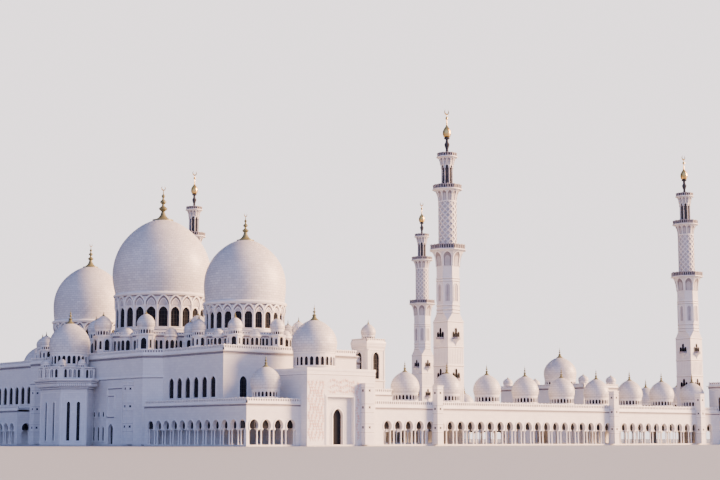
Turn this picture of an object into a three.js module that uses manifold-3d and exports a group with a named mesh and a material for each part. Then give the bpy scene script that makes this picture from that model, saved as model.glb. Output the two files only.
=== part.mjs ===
import * as THREE from 'three';
import { mergeVertices } from 'three/addons/utils/BufferGeometryUtils.js';
import Module from 'manifold-3d';

const wasm = await Module();
wasm.setup();

// Every size below is in metres of the real building. The model is 1:10, in millimetres.
const METRE = 100;
const GAP = 0.003;

// Levels
const FLOOR = 0.45;
const WING_EAVES = 11;
const WING_TOP = 13;
const HALL_EAVES = 25.8;
const HALL_TOP = 28.2;
const ROOF = 0.8;
const WALL = 1.1;
const RIM = 0.6;

// Prayer hall, with the courtyard behind it towards +X
const HALL = { west: -23.7, east: 24.3, half: 69.6 };
const WEST_BLOCK = { west: -28, half: 34.6, top: 26.6, chamfer: 4.2 };
const PORTAL_PYLON = { west: 6.7, east: 9.8, deep: 2.1, top: 17.4 };
const WEST_DOOR = { at: 17.2, width: 2.8, top: 6.6 };
const PYLON = { side: 2.2, y: 28.6, top: 18.8 };
const TOWER = { west: -39.2, face: 6.3, side: 12, x: -33.1, flare: 2.2, eaves: 17.4, top: 19.7 };
const GALLERY = {
  radius: 8.6, top: 23.6, turretRing: 7.6, turret: 1.1, turretsAt: [65, 90, 135, 180, 225, 270, 295],
};
const TERRACE = { west: -30, half: 89.6, inner: 39.2 };
const TERRACE_DOME = { x: -18.8, y: -82.8 };
const PORTAL = {
  half: 12.1, front: 92.6, top: 21.2, niche: 4.3, nicheTop: 13.2, nicheDeep: 1.2, dome: -80.2,
};
const FACADE = { east: 46.5, half: 45, tower: 50, towerSide: 7.6, towerTop: 33.8 };

// Courtyard wings
const WING = { west: 12.2, east: 198, front: 91.6, court: 62, firstArch: 15.4, lastArch: 167.2 };
const ATTIC = { length: 8, depth: 9, top: 15.4 };
const EAST = { court: 172, front: 198, half: 61.997, domes: [-57.5, -42.4], domeX: 192 };
const GATE = { west: 171, east: 190.6, front: 96.6, back: 87.5, top: 21.6 };
const ENTRANCE = { west: 179, east: 199.5, half: 22.6, top: 23.4, dome: 190.3 };
const ENTRANCE_TURRET = { radius: 2, inset: 2.1, tip: 27 };
const ARCH = { pitch: 4.1, width: 2.9, top: 7.2 };
const COURT_ARCH = { pitch: 6.3, width: 4.5, top: 8.2, plain: true };
const FRONT_ARCH = { pitch: 7.8, width: 5, top: 13 };
const MIDDLE_ARCH = { width: 6.4, top: 18 };
const END_ARCH = { pitch: 7, width: 4.6, top: 14 };
const WING_PYLONS = { at: [35.95, 113.85, 158.95], side: 2.2, top: 17.3 };
const WING_DOMES = { first: 30.93, pitch: 16.9, count: 9, y: 84 };

// Domes: radius of the drum, widest radius of the shell, and the levels of each
const MAIN_DOME = { y: 0, drum: 14.6, wide: 15.95, foot: 47.7, belly: 54.8, crown: 73.2, tip: 84.2 };
const SIDE_DOME = { y: 46.36, drum: 11.8, wide: 12.35, foot: 42, belly: 47.8, crown: 61.8, tip: 69.8 };
const MAIN_WINDOW = { at: 0, foot: 37.9, width: 2.35, top: 43.5, plain: true };
const SIDE_WINDOW = { at: 0, foot: 35.1, width: 1.85, top: 39.4, plain: true };
const MAIN_STOREY = { ring: 21.4, wall: 19.8, eaves: 34.2, top: 36.1, turret: 2.75, belfry: 36, tip: 42.1 };
const SIDE_STOREY = { ring: 16.4, wall: 15.4, eaves: 32, top: 34.2, turret: 2.15, belfry: 33.4, tip: 38.6 };
const MEDIUM_DOME = { drum: 5.9, wide: 6.25, foot: 3.7, belly: 6.4, crown: 13.2, tip: 17.7 };
const PORTAL_DOME = { ...MEDIUM_DOME, wide: 6.5, foot: 6.2, belly: 8.4, crown: 15.7, tip: 20.2 };
const ENTRANCE_DOME = { drum: 6.2, wide: 6.6, foot: 3.2, belly: 5.6, crown: 12.6, tip: 16.8 };
const SMALL_DOME = { drum: 3.6, wide: 4.25, foot: 3.4, belly: 5.2, crown: 10, tip: 12.5 };
const SHELL = 0.5;

// A great dome's finial: radius and level at each bend, as shares of its height
const FINIAL = [
  [0, 0], [0.23, 0], [0.1, 0.1], [0.05, 0.22], [0.05, 0.3], [0.11, 0.36], [0.05, 0.43], [0.045, 0.5],
  [0.085, 0.55], [0.04, 0.61], [0.03, 0.68], [0.06, 0.73], [0.02, 0.79], [0, 1],
];
const FINIAL_SEAT = 0.2;

// Minarets at the corners of the courtyard
const MINARET = { west: 60, east: 180.76, y: 72, side: 6.7, bore: 1.9 };
const SHAFT = { top: 40.5, chamfer: 2, octagon: 7.1 };
const BALCONY = { low: 60.8, middle: 80.7, high: 91 };

const TURN = Math.PI / 4;

// Outlines
const point = (x, y) => new THREE.Vector2(x, y);

function polygon(sides, radius, x = 0, y = 0, phase = 0) {
  const corners = [];
  for (let i = 0; i < sides; i++) {
    const angle = phase + (i * 2 * Math.PI) / sides;
    corners.push(point(x + radius * Math.cos(angle), y + radius * Math.sin(angle)));
  }
  return new THREE.Shape(corners);
}

const octagon = (apothem, x = 0, y = 0) => polygon(8, apothem / Math.cos(Math.PI / 8), x, y, Math.PI / 8);

// A pointed arch, from its left foot over the point to its right foot. Plain ones have straight sides.
function archFace({ at, foot = 0, width, top, plain = false }) {
  const half = width / 2;
  const spring = top - (plain ? 0.6 : 0.8) * width;
  const shoulder = plain ? [] : [[0.72 * half, top - 0.35 * width]];
  return new THREE.Shape([
    point(at - half, foot),
    point(at - half, spring),
    ...shoulder.map(([x, z]) => point(at - x, z)),
    point(at, top),
    ...shoulder.map(([x, z]) => point(at + x, z)),
    point(at + half, spring),
    point(at + half, foot),
  ]);
}

// Places of as many arches as fit between two ends, evenly spaced about the middle
function arcade(from, to, arch = ARCH) {
  const count = Math.floor((to - from) / arch.pitch);
  const first = (from + to) / 2 - ((count - 1) * arch.pitch) / 2;
  return Array.from({ length: count }, (_, i) => ({ ...arch, at: first + i * arch.pitch }));
}

// Solids
function solid(geometry) {
  geometry.deleteAttribute('normal');
  geometry.deleteAttribute('uv');
  const merged = mergeVertices(geometry, 1e-4);
  const index = merged.index.array;
  const corners = [];
  for (let i = 0; i < index.length; i += 3) {
    const [a, b, c] = [index[i], index[i + 1], index[i + 2]];
    if (a !== b && b !== c && c !== a) corners.push(a, b, c);
  }
  return new wasm.Manifold(new wasm.Mesh({
    numProp: 3,
    vertProperties: new Float32Array(merged.attributes.position.array),
    triVerts: new Uint32Array(corners),
  }));
}

const extrude = (shape, depth) => new THREE.ExtrudeGeometry(shape, { depth, bevelEnabled: false });

function slab(shape, bottom, top) {
  return solid(extrude(shape, top - bottom).translate(0, 0, bottom));
}

// A face drawn in X and Z, from y = near to y = far
function plateY(face, near, far) {
  const axes = new THREE.Matrix4().makeBasis(
    new THREE.Vector3(1, 0, 0), new THREE.Vector3(0, 0, 1), new THREE.Vector3(0, -1, 0));
  return solid(extrude(face, far - near).applyMatrix4(axes).translate(0, far, 0));
}

// A face drawn in Y and Z, from x = near to x = far
function plateX(face, near, far) {
  const axes = new THREE.Matrix4().makeBasis(
    new THREE.Vector3(0, 1, 0), new THREE.Vector3(0, 0, 1), new THREE.Vector3(1, 0, 0));
  return solid(extrude(face, far - near).applyMatrix4(axes).translate(near, 0, 0));
}

function block(x0, x1, y0, y1, z0, z1) {
  const geometry = new THREE.BoxGeometry(x1 - x0, y1 - y0, z1 - z0);
  return solid(geometry.translate((x0 + x1) / 2, (y0 + y1) / 2, (z0 + z1) / 2));
}

// Walls with arched openings. An opening without a foot runs down through the wall's foot.
function wallY(from, to, foot, top, near, far, openings = []) {
  const wall = block(from, to, near, far, foot, top);
  return cut(wall, openings.map((opening) => plateY(archFace(opening), near - 1, far + 1)));
}

function wallX(from, to, foot, top, near, far, openings = []) {
  const wall = block(near, far, from, to, foot, top);
  return cut(wall, openings.map((opening) => plateX(archFace(opening), near - 1, far + 1)));
}

// A profile of [radius, level] pairs turned about the vertical through x, y
function turned(profile, segments, x = 0, y = 0) {
  const points = profile.map(([radius, level]) => point(radius, level));
  return solid(new THREE.LatheGeometry(points, segments).rotateX(Math.PI / 2).translate(x, y, 0));
}

const join = (...pieces) => pieces.flat().reduce((sum, piece) => sum.add(piece));
const cut = (body, ...tools) => tools.flat().reduce((rest, tool) => rest.subtract(tool), body);

// Materials
const stone = (color) => new THREE.MeshStandardMaterial({ color, roughness: 0.55, metalness: 0 });
const marble = stone(0xe8e2d8);
const shellMarble = stone(0xe4dcd8);
const floorMarble = stone(0xd8d2c8);
const gold = new THREE.MeshStandardMaterial({ color: 0xc8963c, roughness: 0.3, metalness: 1 });

const mosque = new THREE.Group();
const model = new THREE.Group();
mosque.add(model);

function place(name, body, material = marble) {
  const { vertProperties, triVerts } = body.getMesh();
  const geometry = new THREE.BufferGeometry();
  geometry.setAttribute('position', new THREE.BufferAttribute(new Float32Array(vertProperties), 3));
  geometry.setIndex(new THREE.BufferAttribute(new Uint32Array(triVerts), 1));
  geometry.scale(METRE, METRE, METRE);
  geometry.computeVertexNormals();
  const mesh = new THREE.Mesh(geometry, material);
  mesh.name = name;
  model.add(mesh);
}

// Both sides of the middle axis: south is -Y, and north is its mirror
const SIDES = [['south', -1], ['north', 1]];
const mirrored = (body, side) => (side < 0 ? body : body.mirror([0, 1, 0]));

// A roof slab with a parapet round its edge
function roof(x0, x1, y0, y1, bottom, top) {
  const whole = block(x0, x1, y0, y1, bottom, top);
  return cut(whole, block(x0 + RIM, x1 - RIM, y0 + RIM, y1 - RIM, bottom + ROOF, top + 1));
}

// A round hole through a roof, under a dome
const well = (radius, x, y, segments) => turned([[0, -1], [radius, -1], [radius, 50], [0, 50]], segments, x, y);

// Domes: the profile of a shell from its foot to just below its crown
function shellProfile(dome, inset, steps, floor = 0) {
  const points = [[dome.drum - inset, floor + dome.foot], [dome.wide - inset, floor + dome.belly]];
  for (let i = 1; i < steps; i++) {
    const angle = (i / steps) * (Math.PI / 2);
    const rise = (dome.crown - inset - dome.belly) * Math.sin(angle);
    points.push([(dome.wide - inset) * Math.cos(angle), floor + dome.belly + rise]);
  }
  return points;
}

// A dome on its drum, open below, with its finial
function domeOnDrum(dome, floor, x, y, segments, steps) {
  const foot = floor + GAP;
  const profile = [
    [dome.drum - SHELL, foot],
    [dome.drum, foot],
    ...shellProfile(dome, 0, steps, floor),
    [0.06 * dome.wide, floor + dome.crown],
    [0, floor + dome.tip],
    [0, floor + dome.crown - SHELL],
    ...shellProfile(dome, SHELL, 2, floor).reverse(),
    [dome.drum - SHELL, foot],
  ];
  return turned(profile, segments, x, y);
}

// One of the row of small domes, open below
function smallDome(floor, x, y) {
  const { drum, wide, foot, belly, crown, tip } = SMALL_DOME;
  const middle = (belly + crown) / 2;
  return turned([
    [drum - SHELL, floor],
    [drum, floor],
    [drum, floor + foot],
    [wide, floor + belly],
    [0.75 * wide, floor + middle + 0.6],
    [0.06 * wide, floor + crown],
    [0, floor + tip],
    [0, floor + crown - SHELL],
    [drum - SHELL, floor + foot],
    [drum - SHELL, floor],
  ], 8, x, y);
}

function bigDome(name, dome, side) {
  const foot = dome.foot + GAP;
  const bulge = (dome.drum + dome.wide) / 2 + 0.25;
  const seat = dome.crown - FINIAL_SEAT;
  const shell = [
    [dome.drum - SHELL, foot],
    [dome.drum, foot],
    [bulge, (dome.foot + dome.belly) / 2],
    ...shellProfile(dome, 0, 6).slice(1),
    [FINIAL[1][0] * (dome.tip - seat), seat],
    [0, seat],
    [0, dome.crown - SHELL - FINIAL_SEAT],
    ...shellProfile(dome, SHELL, 3).slice(1).reverse(),
    [dome.drum - SHELL, foot],
  ];
  place(`${name}_dome`, turned(shell, 20, 0, dome.y * side), shellMarble);
  const height = dome.tip - seat - GAP;
  const finial = FINIAL.map(([radius, level]) => [radius * height, dome.tip - height + level * height]);
  place(`${name}_dome_finial`, turned(finial, 8, 0, dome.y * side), gold);
}

// The drum with its ring of arched windows, and a cornice at its top
function drum(name, dome, opening, size, side) {
  const y = dome.y * side;
  const foot = size.top + GAP;
  const inner = dome.drum - 0.9;
  const ring = turned([
    [inner, foot],
    [dome.drum, foot],
    [dome.drum, dome.foot - 0.9],
    [dome.drum + 0.5, dome.foot],
    [inner, dome.foot],
    [inner, foot],
  ], 24, 0, y);
  const window = plateX(archFace(opening), 0, dome.drum + 2);
  const cutters = [];
  for (let i = 0; i < 24; i++) {
    cutters.push(window.rotate([0, 0, (i + 0.5) * 15]).translate([0, y, 0]));
  }
  place(`${name}_dome_drum`, cut(ring, cutters));
}

// The eight-sided storey that carries the drum, with a sloped roof and a domed turret at each corner
function storey(name, dome, size, side) {
  const y = dome.y * side;
  const foot = HALL_EAVES + ROOF + GAP;
  const shoulder = (dome.drum + 0.4) / Math.cos(TURN / 2);
  const mass = (inset, bottom) => turned([
    [0, bottom],
    [size.wall - inset, bottom],
    [size.wall - inset, size.eaves - 0.6 * inset],
    [shoulder - inset, size.top - 0.6 * inset],
    [0, size.top - 0.6 * inset],
    [0, bottom],
  ], 8);
  const ring = cut(mass(0, foot), mass(1.2, foot - 1), well(dome.drum - 1.2, 0, 0, 24));
  const turrets = [];
  for (let i = 0; i < 8; i++) {
    const x = size.ring * Math.cos(i * TURN);
    const across = size.ring * Math.sin(i * TURN);
    turrets.push(turret(size.turret, foot, size.belfry, size.tip, x, across));
  }
  const body = join(ring, turrets);
  place(`${name}_dome_storey`, body.translate([0, y, 0]));
}

// A small turret with its dome
function turret(radius, foot, top, tip, x, y, segments = 8) {
  const rise = tip - top;
  const profile = [
    [0, foot],
    [radius * 0.93, foot],
    [radius * 0.93, top],
    [radius, top + 0.2 * rise],
    [radius * 0.78, top + 0.53 * rise],
    [radius * 0.12, top + 0.74 * rise],
    [0, tip],
  ];
  return turned(profile, segments, x, y);
}

// The two doors of the west side, which go through the low block and the hall's wall
const westDoors = (width) => [-1, 1].map((side) => ({ ...WEST_DOOR, at: side * WEST_DOOR.at, width }));

// Prayer hall
function hall() {
  const { west, east, half } = HALL;
  const foot = FLOOR + GAP;
  const windows = [];
  for (let i = 0; i < 6; i++) {
    for (const side of [-1, 1]) {
      windows.push({ at: side * (41.7 + i * 4.25), foot: 13.6, width: 1.9, top: 19.5, plain: true });
    }
  }
  const inner = half - WALL - GAP;
  const doors = westDoors(3.4);
  place('hall_wall_west', wallX(-inner, inner, foot, HALL_EAVES, west, west + WALL, [...doors, ...windows]));
  const courtDoors = [-34, -17, 0, 17, 34].map((at) => ({ at, width: 6, top: 12 }));
  place('hall_wall_east', wallX(-inner, inner, foot, HALL_EAVES, east - WALL, east, courtDoors));
  const endWindows = [-18.5, 18.5].map((at) => ({ at, foot: 13.8, width: 1.9, top: 19.7, plain: true }));
  const endDoor = { at: 0, width: 6, top: 11 };
  for (const [name, side] of SIDES) {
    const wall = wallY(west, east, foot, HALL_EAVES, -half, -half + WALL, [endDoor, ...endWindows]);
    place(`hall_wall_${name}`, mirrored(wall, side));
  }
  const wells = [[MAIN_DOME, 0], [SIDE_DOME, -1], [SIDE_DOME, 1]].map(([dome, side]) => (
    well(dome.drum - 1.6, 0, dome.y * side, 16)));
  const ring = MAIN_STOREY.ring + MAIN_STOREY.turret + GAP;
  const seat = block(-ring, ring, -3, 3, HALL_EAVES + ROOF, HALL_TOP + 1);
  place('hall_roof', cut(roof(west, east, -half, half, HALL_EAVES + GAP, HALL_TOP), wells, seat));
}

function hallFloor() {
  const { west, east, half } = HALL;
  const slabs = [
    block(west, east, -half, half, 0, FLOOR),
    block(WEST_BLOCK.west, west + 1, -WEST_BLOCK.half, WEST_BLOCK.half, 0, FLOOR),
    slab(towerPlan(0), 0, FLOOR),
    block(WEST_BLOCK.west - 1, west, -TOWER.face, TOWER.face, 0, FLOOR),
    block(east - 1, FACADE.tower - FACADE.towerSide / 2, -FACADE.half, FACADE.half, 0, FLOOR),
  ];
  const outer = -HALL.half + 1;
  for (const side of [-1, 1]) {
    const corner = FACADE.towerSide / 2;
    slabs.push(
      mirrored(block(TERRACE.west, west + 1, -TERRACE.half, -TERRACE.inner, 0, FLOOR), side),
      mirrored(block(west, -PORTAL.half + 1, -TERRACE.half, outer, 0, FLOOR), side),
      mirrored(block(-PORTAL.half, PORTAL.half, -PORTAL.front, outer, 0, FLOOR), side),
      block(FACADE.tower - corner - 1, FACADE.tower + corner, side * FACADE.half - corner,
        side * FACADE.half + corner, 0, FLOOR),
    );
  }
  place('hall_floor', join(slabs), floorMarble);
}

// West side: the low block, the chamfered tower over the prayer niche, and its gallery
function westBlock() {
  const { west, half, top, chamfer } = WEST_BLOCK;
  const east = HALL.west - GAP;
  const shape = new THREE.Shape([
    point(east, -half - chamfer), point(east, half + chamfer),
    point(west, half), point(west, -half),
  ]);
  const body = cut(
    slab(shape, FLOOR + GAP, top),
    block(west + WALL, HALL.west + 1, -half + 0.4, half - 0.4, 0, top - ROOF),
    well(MEDIUM_DOME.wide + 0.1, TOWER.x, 0, 16).translate([0, 0, GALLERY.top + 0.9]),
  );
  const doors = westDoors(WEST_DOOR.width).map((door) => plateX(archFace(door), west - 1, west + 3));
  const pylons = [-1, 1].map((side) => {
    const y = side * PYLON.y;
    return block(west - PYLON.side, west, y - PYLON.side / 2, y + PYLON.side / 2, 0, PYLON.top);
  });
  place('west_block', join(cut(body, doors), pylons));
}

function towerPlan(offset) {
  const { west, face, side } = TOWER;
  const chamfer = side - face;
  const back = WEST_BLOCK.west - GAP;
  const slant = offset * Math.tan(Math.PI / 8);
  const bend = west + chamfer;
  return new THREE.Shape([
    point(west - offset, -face - slant),
    point(bend, -side - offset * Math.SQRT2),
    point(back, -side + (back - bend) - offset * Math.SQRT2),
    point(back, side - (back - bend) + offset * Math.SQRT2),
    point(bend, side + offset * Math.SQRT2),
    point(west - offset, face + slant),
  ]);
}

function prayerNicheTower() {
  const { x, flare, eaves, top } = TOWER;
  const body = join(
    slab(towerPlan(0), FLOOR + GAP, eaves),
    slab(towerPlan(flare * 0.5), eaves - 0.01, top - 0.9),
    slab(towerPlan(flare), top - 0.9, top),
  );
  const hollow = cut(body, slab(towerPlan(-WALL), 0, top - 2.2));
  place('niche_tower', cut(hollow, turned(
    [[0, 15], [4.6, 15], [4.6, top + 1], [0, top + 1]], 12, x, 0)));
  const { radius, turretRing, turret: small } = GALLERY;
  const gallery = cut(
    slab(octagon(radius, x), top + GAP, GALLERY.top),
    slab(octagon(radius - 0.8, x), top - 1, GALLERY.top - 0.6),
    well(5, x, 0, 16),
    block(WEST_BLOCK.west - GAP, HALL.west, -20, 20, 0, 40),
  );
  const turrets = GALLERY.turretsAt.map((degrees) => {
    const angle = THREE.MathUtils.degToRad(degrees);
    const across = turretRing * Math.sin(angle);
    return turret(small, GALLERY.top - 0.3, GALLERY.top + 0.3, GALLERY.top + 3,
      x + turretRing * Math.cos(angle), across);
  });
  place('niche_gallery', join(gallery, turrets));
  place('niche_dome', domeOnDrum(MEDIUM_DOME, GALLERY.top, x, 0, 12, 5), shellMarble);
}

// Low arcaded terraces at the two western corners
function terraces() {
  const { west, half, inner } = TERRACE;
  const east = -PORTAL.half - GAP;
  const foot = FLOOR + GAP;
  const top = WING_EAVES;
  for (const [name, side] of SIDES) {
    const walls = join(
      wallX(-half, -inner, foot, top, west, west + WALL, arcade(-half + 1, -inner)),
      wallY(west, east, foot, top, -half, -half + WALL, arcade(west + 0.5, east - 0.4)),
    );
    const outline = new THREE.Shape([
      point(west, -half), point(east, -half), point(east, -HALL.half - GAP),
      point(HALL.west - GAP, -HALL.half - GAP), point(HALL.west - GAP, -inner), point(west, -inner),
    ]);
    const { x, y } = TERRACE_DOME;
    const deck = slab(outline, top - 0.1, top + ROOF);
    const rims = [
      block(west, west + RIM, -half, -inner, top + 0.4, WING_TOP),
      block(west, east, -half, -half + RIM, top + 0.4, WING_TOP),
    ];
    const small = smallDome(top + ROOF - 0.1, x, y);
    const open = cut(deck, well(SMALL_DOME.drum - 0.8, x, y, 8));
    place(`${name}west_terrace`, mirrored(join(walls, open, rims, small), side));
  }
}

// Portal blocks at the two ends of the hall
function portals() {
  const { half, front, top, niche, nicheTop, nicheDeep } = PORTAL;
  const back = HALL.half + GAP;
  for (const [name, side] of SIDES) {
    const body = cut(
      block(-half, half, -front, -back, FLOOR + GAP, top),
      block(-half + WALL, half - WALL, -front + WALL + nicheDeep, -back + 1, 0, top - 3),
      block(-half + RIM, half - RIM, -front + RIM, -back - RIM, top - 1.4, top + 1),
      block(-niche, niche, -front - 1, -front + nicheDeep, 0, nicheTop),
      plateY(archFace({ at: 0, width: 3.6, top: 10 }), -front - 1, -front + 3),
      well(PORTAL_DOME.drum - 1.3, 0, PORTAL.dome, 12),
    );
    const pylon = block(PORTAL_PYLON.west, PORTAL_PYLON.east,
      -front - PORTAL_PYLON.deep, -front + 0.2, FLOOR + GAP, PORTAL_PYLON.top);
    place(`${name}_portal`, mirrored(join(body, pylon), side));
    const floor = top - 1.4;
    place(`${name}_portal_dome`, mirrored(
      domeOnDrum(PORTAL_DOME, floor, 0, PORTAL.dome, 12, 5), side), shellMarble);
  }
}

// Courtyard front of the hall, with a tower at each end
function courtyardFront() {
  const { east, half, tower, towerSide, towerTop } = FACADE;
  const west = HALL.east + GAP;
  const reach = tower - towerSide / 2 - GAP;
  const foot = FLOOR + GAP;
  const front = arcade(-half + 2, half - 2, FRONT_ARCH).map((arch) => (
    Math.abs(arch.at) < 1 ? { ...arch, ...MIDDLE_ARCH } : arch));
  const ends = arcade(west, reach, END_ARCH);
  const walls = join(
    wallX(-half, half, foot, HALL_EAVES, east - 1.5, east, front),
    wallY(west, east - 1, foot, HALL_EAVES, -half, -half + WALL, ends),
    wallY(west, east - 1, foot, HALL_EAVES, half - WALL, half, ends),
  );
  const clearance = [-1, 1].map((side) => (
    block(reach, tower + 10, side * half - 4.5, side * half + 4.5, 0, 40)));
  const top = roof(west, east, -half, half, HALL_EAVES - 0.1, HALL_TOP);
  place('courtyard_front', cut(join(walls, top), clearance));
  for (const [name, side] of SIDES) {
    const y = -half;
    const r = towerSide / 2;
    const window = { foot: 21.3, width: 2.4, top: 29.6 };
    const shaft = cut(
      block(tower - r, tower + r, y - r, y + r, foot, towerTop),
      block(tower - r + WALL, tower + r - WALL, y - r + WALL, y + r - WALL, 0, towerTop - 3),
      plateY(archFace({ at: tower, ...window }), y - r - 1, y + r + 1),
      plateX(archFace({ at: y, ...window }), tower - r - 1, tower + r + 1),
    );
    const edge = r + 0.35;
    const cap = block(tower - edge, tower + edge, y - edge, y + edge, towerTop - 2.4, towerTop);
    const dome = turret(2.25, towerTop - 1, towerTop + 1, 40.1, tower, y, 10);
    place(`courtyard_tower_${name}`, mirrored(join(shaft, cap, dome), side));
  }
}

// South and north wings with their row of domes. Each runs round the corner of the courtyard.
function wings() {
  const { west, east, front, court, firstArch, lastArch } = WING;
  const foot = FLOOR + GAP;
  const inner = HALL.east + GAP;
  const gate = { west: GATE.west - GAP, east: GATE.east + GAP, back: -GATE.back + GAP };
  const pylons = WING_PYLONS.at.map((x) => wingPylon(x, foot));
  const { first, pitch, count } = WING_DOMES;
  for (const [name, side] of SIDES) {
    const arches = arcade(firstArch, lastArch);
    const outer = wallY(west, gate.west, foot, WING_EAVES, -front, -front + WALL, arches);
    place(`${name}_wing_outer_arcade`, mirrored(join(outer, pylons), side));
    const courtArches = arcade(inner, EAST.court, COURT_ARCH);
    const inside = wallY(inner, EAST.court, foot, WING_EAVES, -court - WALL, -court, courtArches);
    place(`${name}_wing_court_arcade`, mirrored(inside, side));
    const outline = new THREE.Shape([
      point(west, -front), point(gate.west, -front), point(gate.west, gate.back),
      point(gate.east, gate.back), point(gate.east, -front), point(east, -front), point(east, -court),
      point(inner, -court), point(inner, -HALL.half - GAP), point(west, -HALL.half - GAP),
    ]);
    const holes = [minaretHole(MINARET.west), minaretHole(MINARET.east)];
    const domes = [];
    for (let i = 0; i < count; i++) {
      const x = first + i * pitch;
      holes.push(well(SMALL_DOME.drum - 0.8, x, -WING_DOMES.y, 8));
      domes.push(smallDome(WING_EAVES + ROOF - 0.1, x, -WING_DOMES.y));
    }
    const low = WING_EAVES + 0.4;
    const rims = [
      block(west, gate.west, -front, -front + RIM, low, WING_TOP),
      block(gate.east, east, -front, -front + RIM, low, WING_TOP),
      block(east - RIM, east, -front, -court, low, WING_TOP),
      block(inner, EAST.court, -court - RIM, -court, low, WING_TOP),
      block(west, west + ATTIC.length, -front + 1, -front + ATTIC.depth, low, ATTIC.top),
    ];
    place(`${name}_wing_roof`, mirrored(
      join(cut(slab(outline, WING_EAVES + GAP, WING_EAVES + ROOF), holes), rims, domes), side));
  }
}

// A pylon in front of the wing, bonded into the wall below the eaves
function wingPylon(x, foot) {
  const { side, top } = WING_PYLONS;
  const face = -WING.front;
  return join(
    block(x - side / 2, x + side / 2, face - side, face - GAP, foot, top),
    block(x - side / 2, x + side / 2, face - 1, face + 0.2, foot, WING_EAVES),
  );
}

// The way through the wing's roof for a minaret's shaft
function minaretHole(x) {
  const half = MINARET.side / 2 + GAP;
  return block(x - half, x + half, -MINARET.y - half, -MINARET.y + half, -1, 50);
}

// East wing with the entrance block in its middle and a gate block at each end
function eastWing() {
  const { court, front, half } = EAST;
  const foot = FLOOR + GAP;
  const edge = ENTRANCE.half + GAP;
  for (const [name, side] of SIDES) {
    const corner = -WING.front;
    const outer = join(
      wallX(corner, -edge, foot, WING_EAVES, front - WALL, front, arcade(corner + WALL, -edge)),
      block(GATE.east + GAP, front, corner, corner + WALL, foot, WING_EAVES),
    );
    place(`east_wing_outer_arcade_${name}`, mirrored(outer, side));
    const arches = arcade(-half, -edge, COURT_ARCH);
    const inner = wallX(-half, -edge, foot, WING_EAVES, court, court + WALL, arches);
    place(`east_wing_court_arcade_${name}`, mirrored(inner, side));
    const holes = [];
    const domes = [];
    const x = EAST.domeX;
    for (const y of EAST.domes) {
      holes.push(well(SMALL_DOME.drum - 0.8, x, y, 8));
      domes.push(smallDome(WING_EAVES + ROOF - 0.1, x, y));
    }
    const deck = roof(court, front, -half, -edge, WING_EAVES + GAP, WING_TOP);
    place(`east_wing_roof_${name}`, mirrored(join(cut(deck, holes), domes), side));
  }
}

function entrance() {
  const { west, east, half, top, dome } = ENTRANCE;
  const { radius, inset, tip } = ENTRANCE_TURRET;
  const body = cut(
    block(west, east, -half, half, FLOOR + GAP, top),
    block(west + WALL, east - WALL, -half + WALL, half - WALL, 0, top - 3),
    plateX(archFace({ at: 0, width: 7, top: 14 }), west - 1, east + 1),
    block(west + RIM, east - RIM, -half + RIM, half - RIM, top - 1.2, top + 1),
    well(ENTRANCE_DOME.drum - 1, dome, 0, 12),
  );
  const turrets = [];
  for (const x of [west + inset, east - inset]) {
    for (const y of [inset - half, half - inset]) {
      turrets.push(turret(radius, top - 2, top + 0.6, tip, x, y));
    }
  }
  place('entrance_block', join(body, turrets));
  place('entrance_dome', domeOnDrum(ENTRANCE_DOME, top - 1.2, dome, 0, 12, 5), shellMarble);
}

function gates() {
  const { west, east, front, back, top } = GATE;
  const middle = (west + east) / 2;
  for (const [name, side] of SIDES) {
    const body = cut(
      block(west, east, -front, -back, FLOOR + GAP, top),
      block(west + WALL, east - WALL, -front + WALL, -back - WALL, 0, top - 3),
      block(west + RIM, east - RIM, -front + RIM, -back - RIM, top - 1.2, top + 1),
      plateY(archFace({ at: middle, width: 6, top: 12 }), -front - 1, -back + 1),
    );
    place(`${name}east_gate`, mirrored(body, side));
  }
}

function courtFloor() {
  const { west, east, front, court } = WING;
  const inner = HALL.east + GAP;
  const wingFloors = SIDES.map(([, side]) => mirrored(join(
    block(inner + 2, east, -front, -court, 0, FLOOR),
    block(west, inner + 3, -front, -HALL.half - GAP, 0, FLOOR),
    block(GATE.west, GATE.east, -GATE.front, -front + 1, 0, FLOOR),
  ), side));
  const eastFloor = join(
    block(EAST.court, EAST.front, -EAST.half - 1, EAST.half + 1, 0, FLOOR),
    block(ENTRANCE.west, ENTRANCE.east, -ENTRANCE.half, ENTRANCE.half, 0, FLOOR),
  );
  place('wing_floor', join(wingFloors, eastFloor), floorMarble);
}

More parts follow.
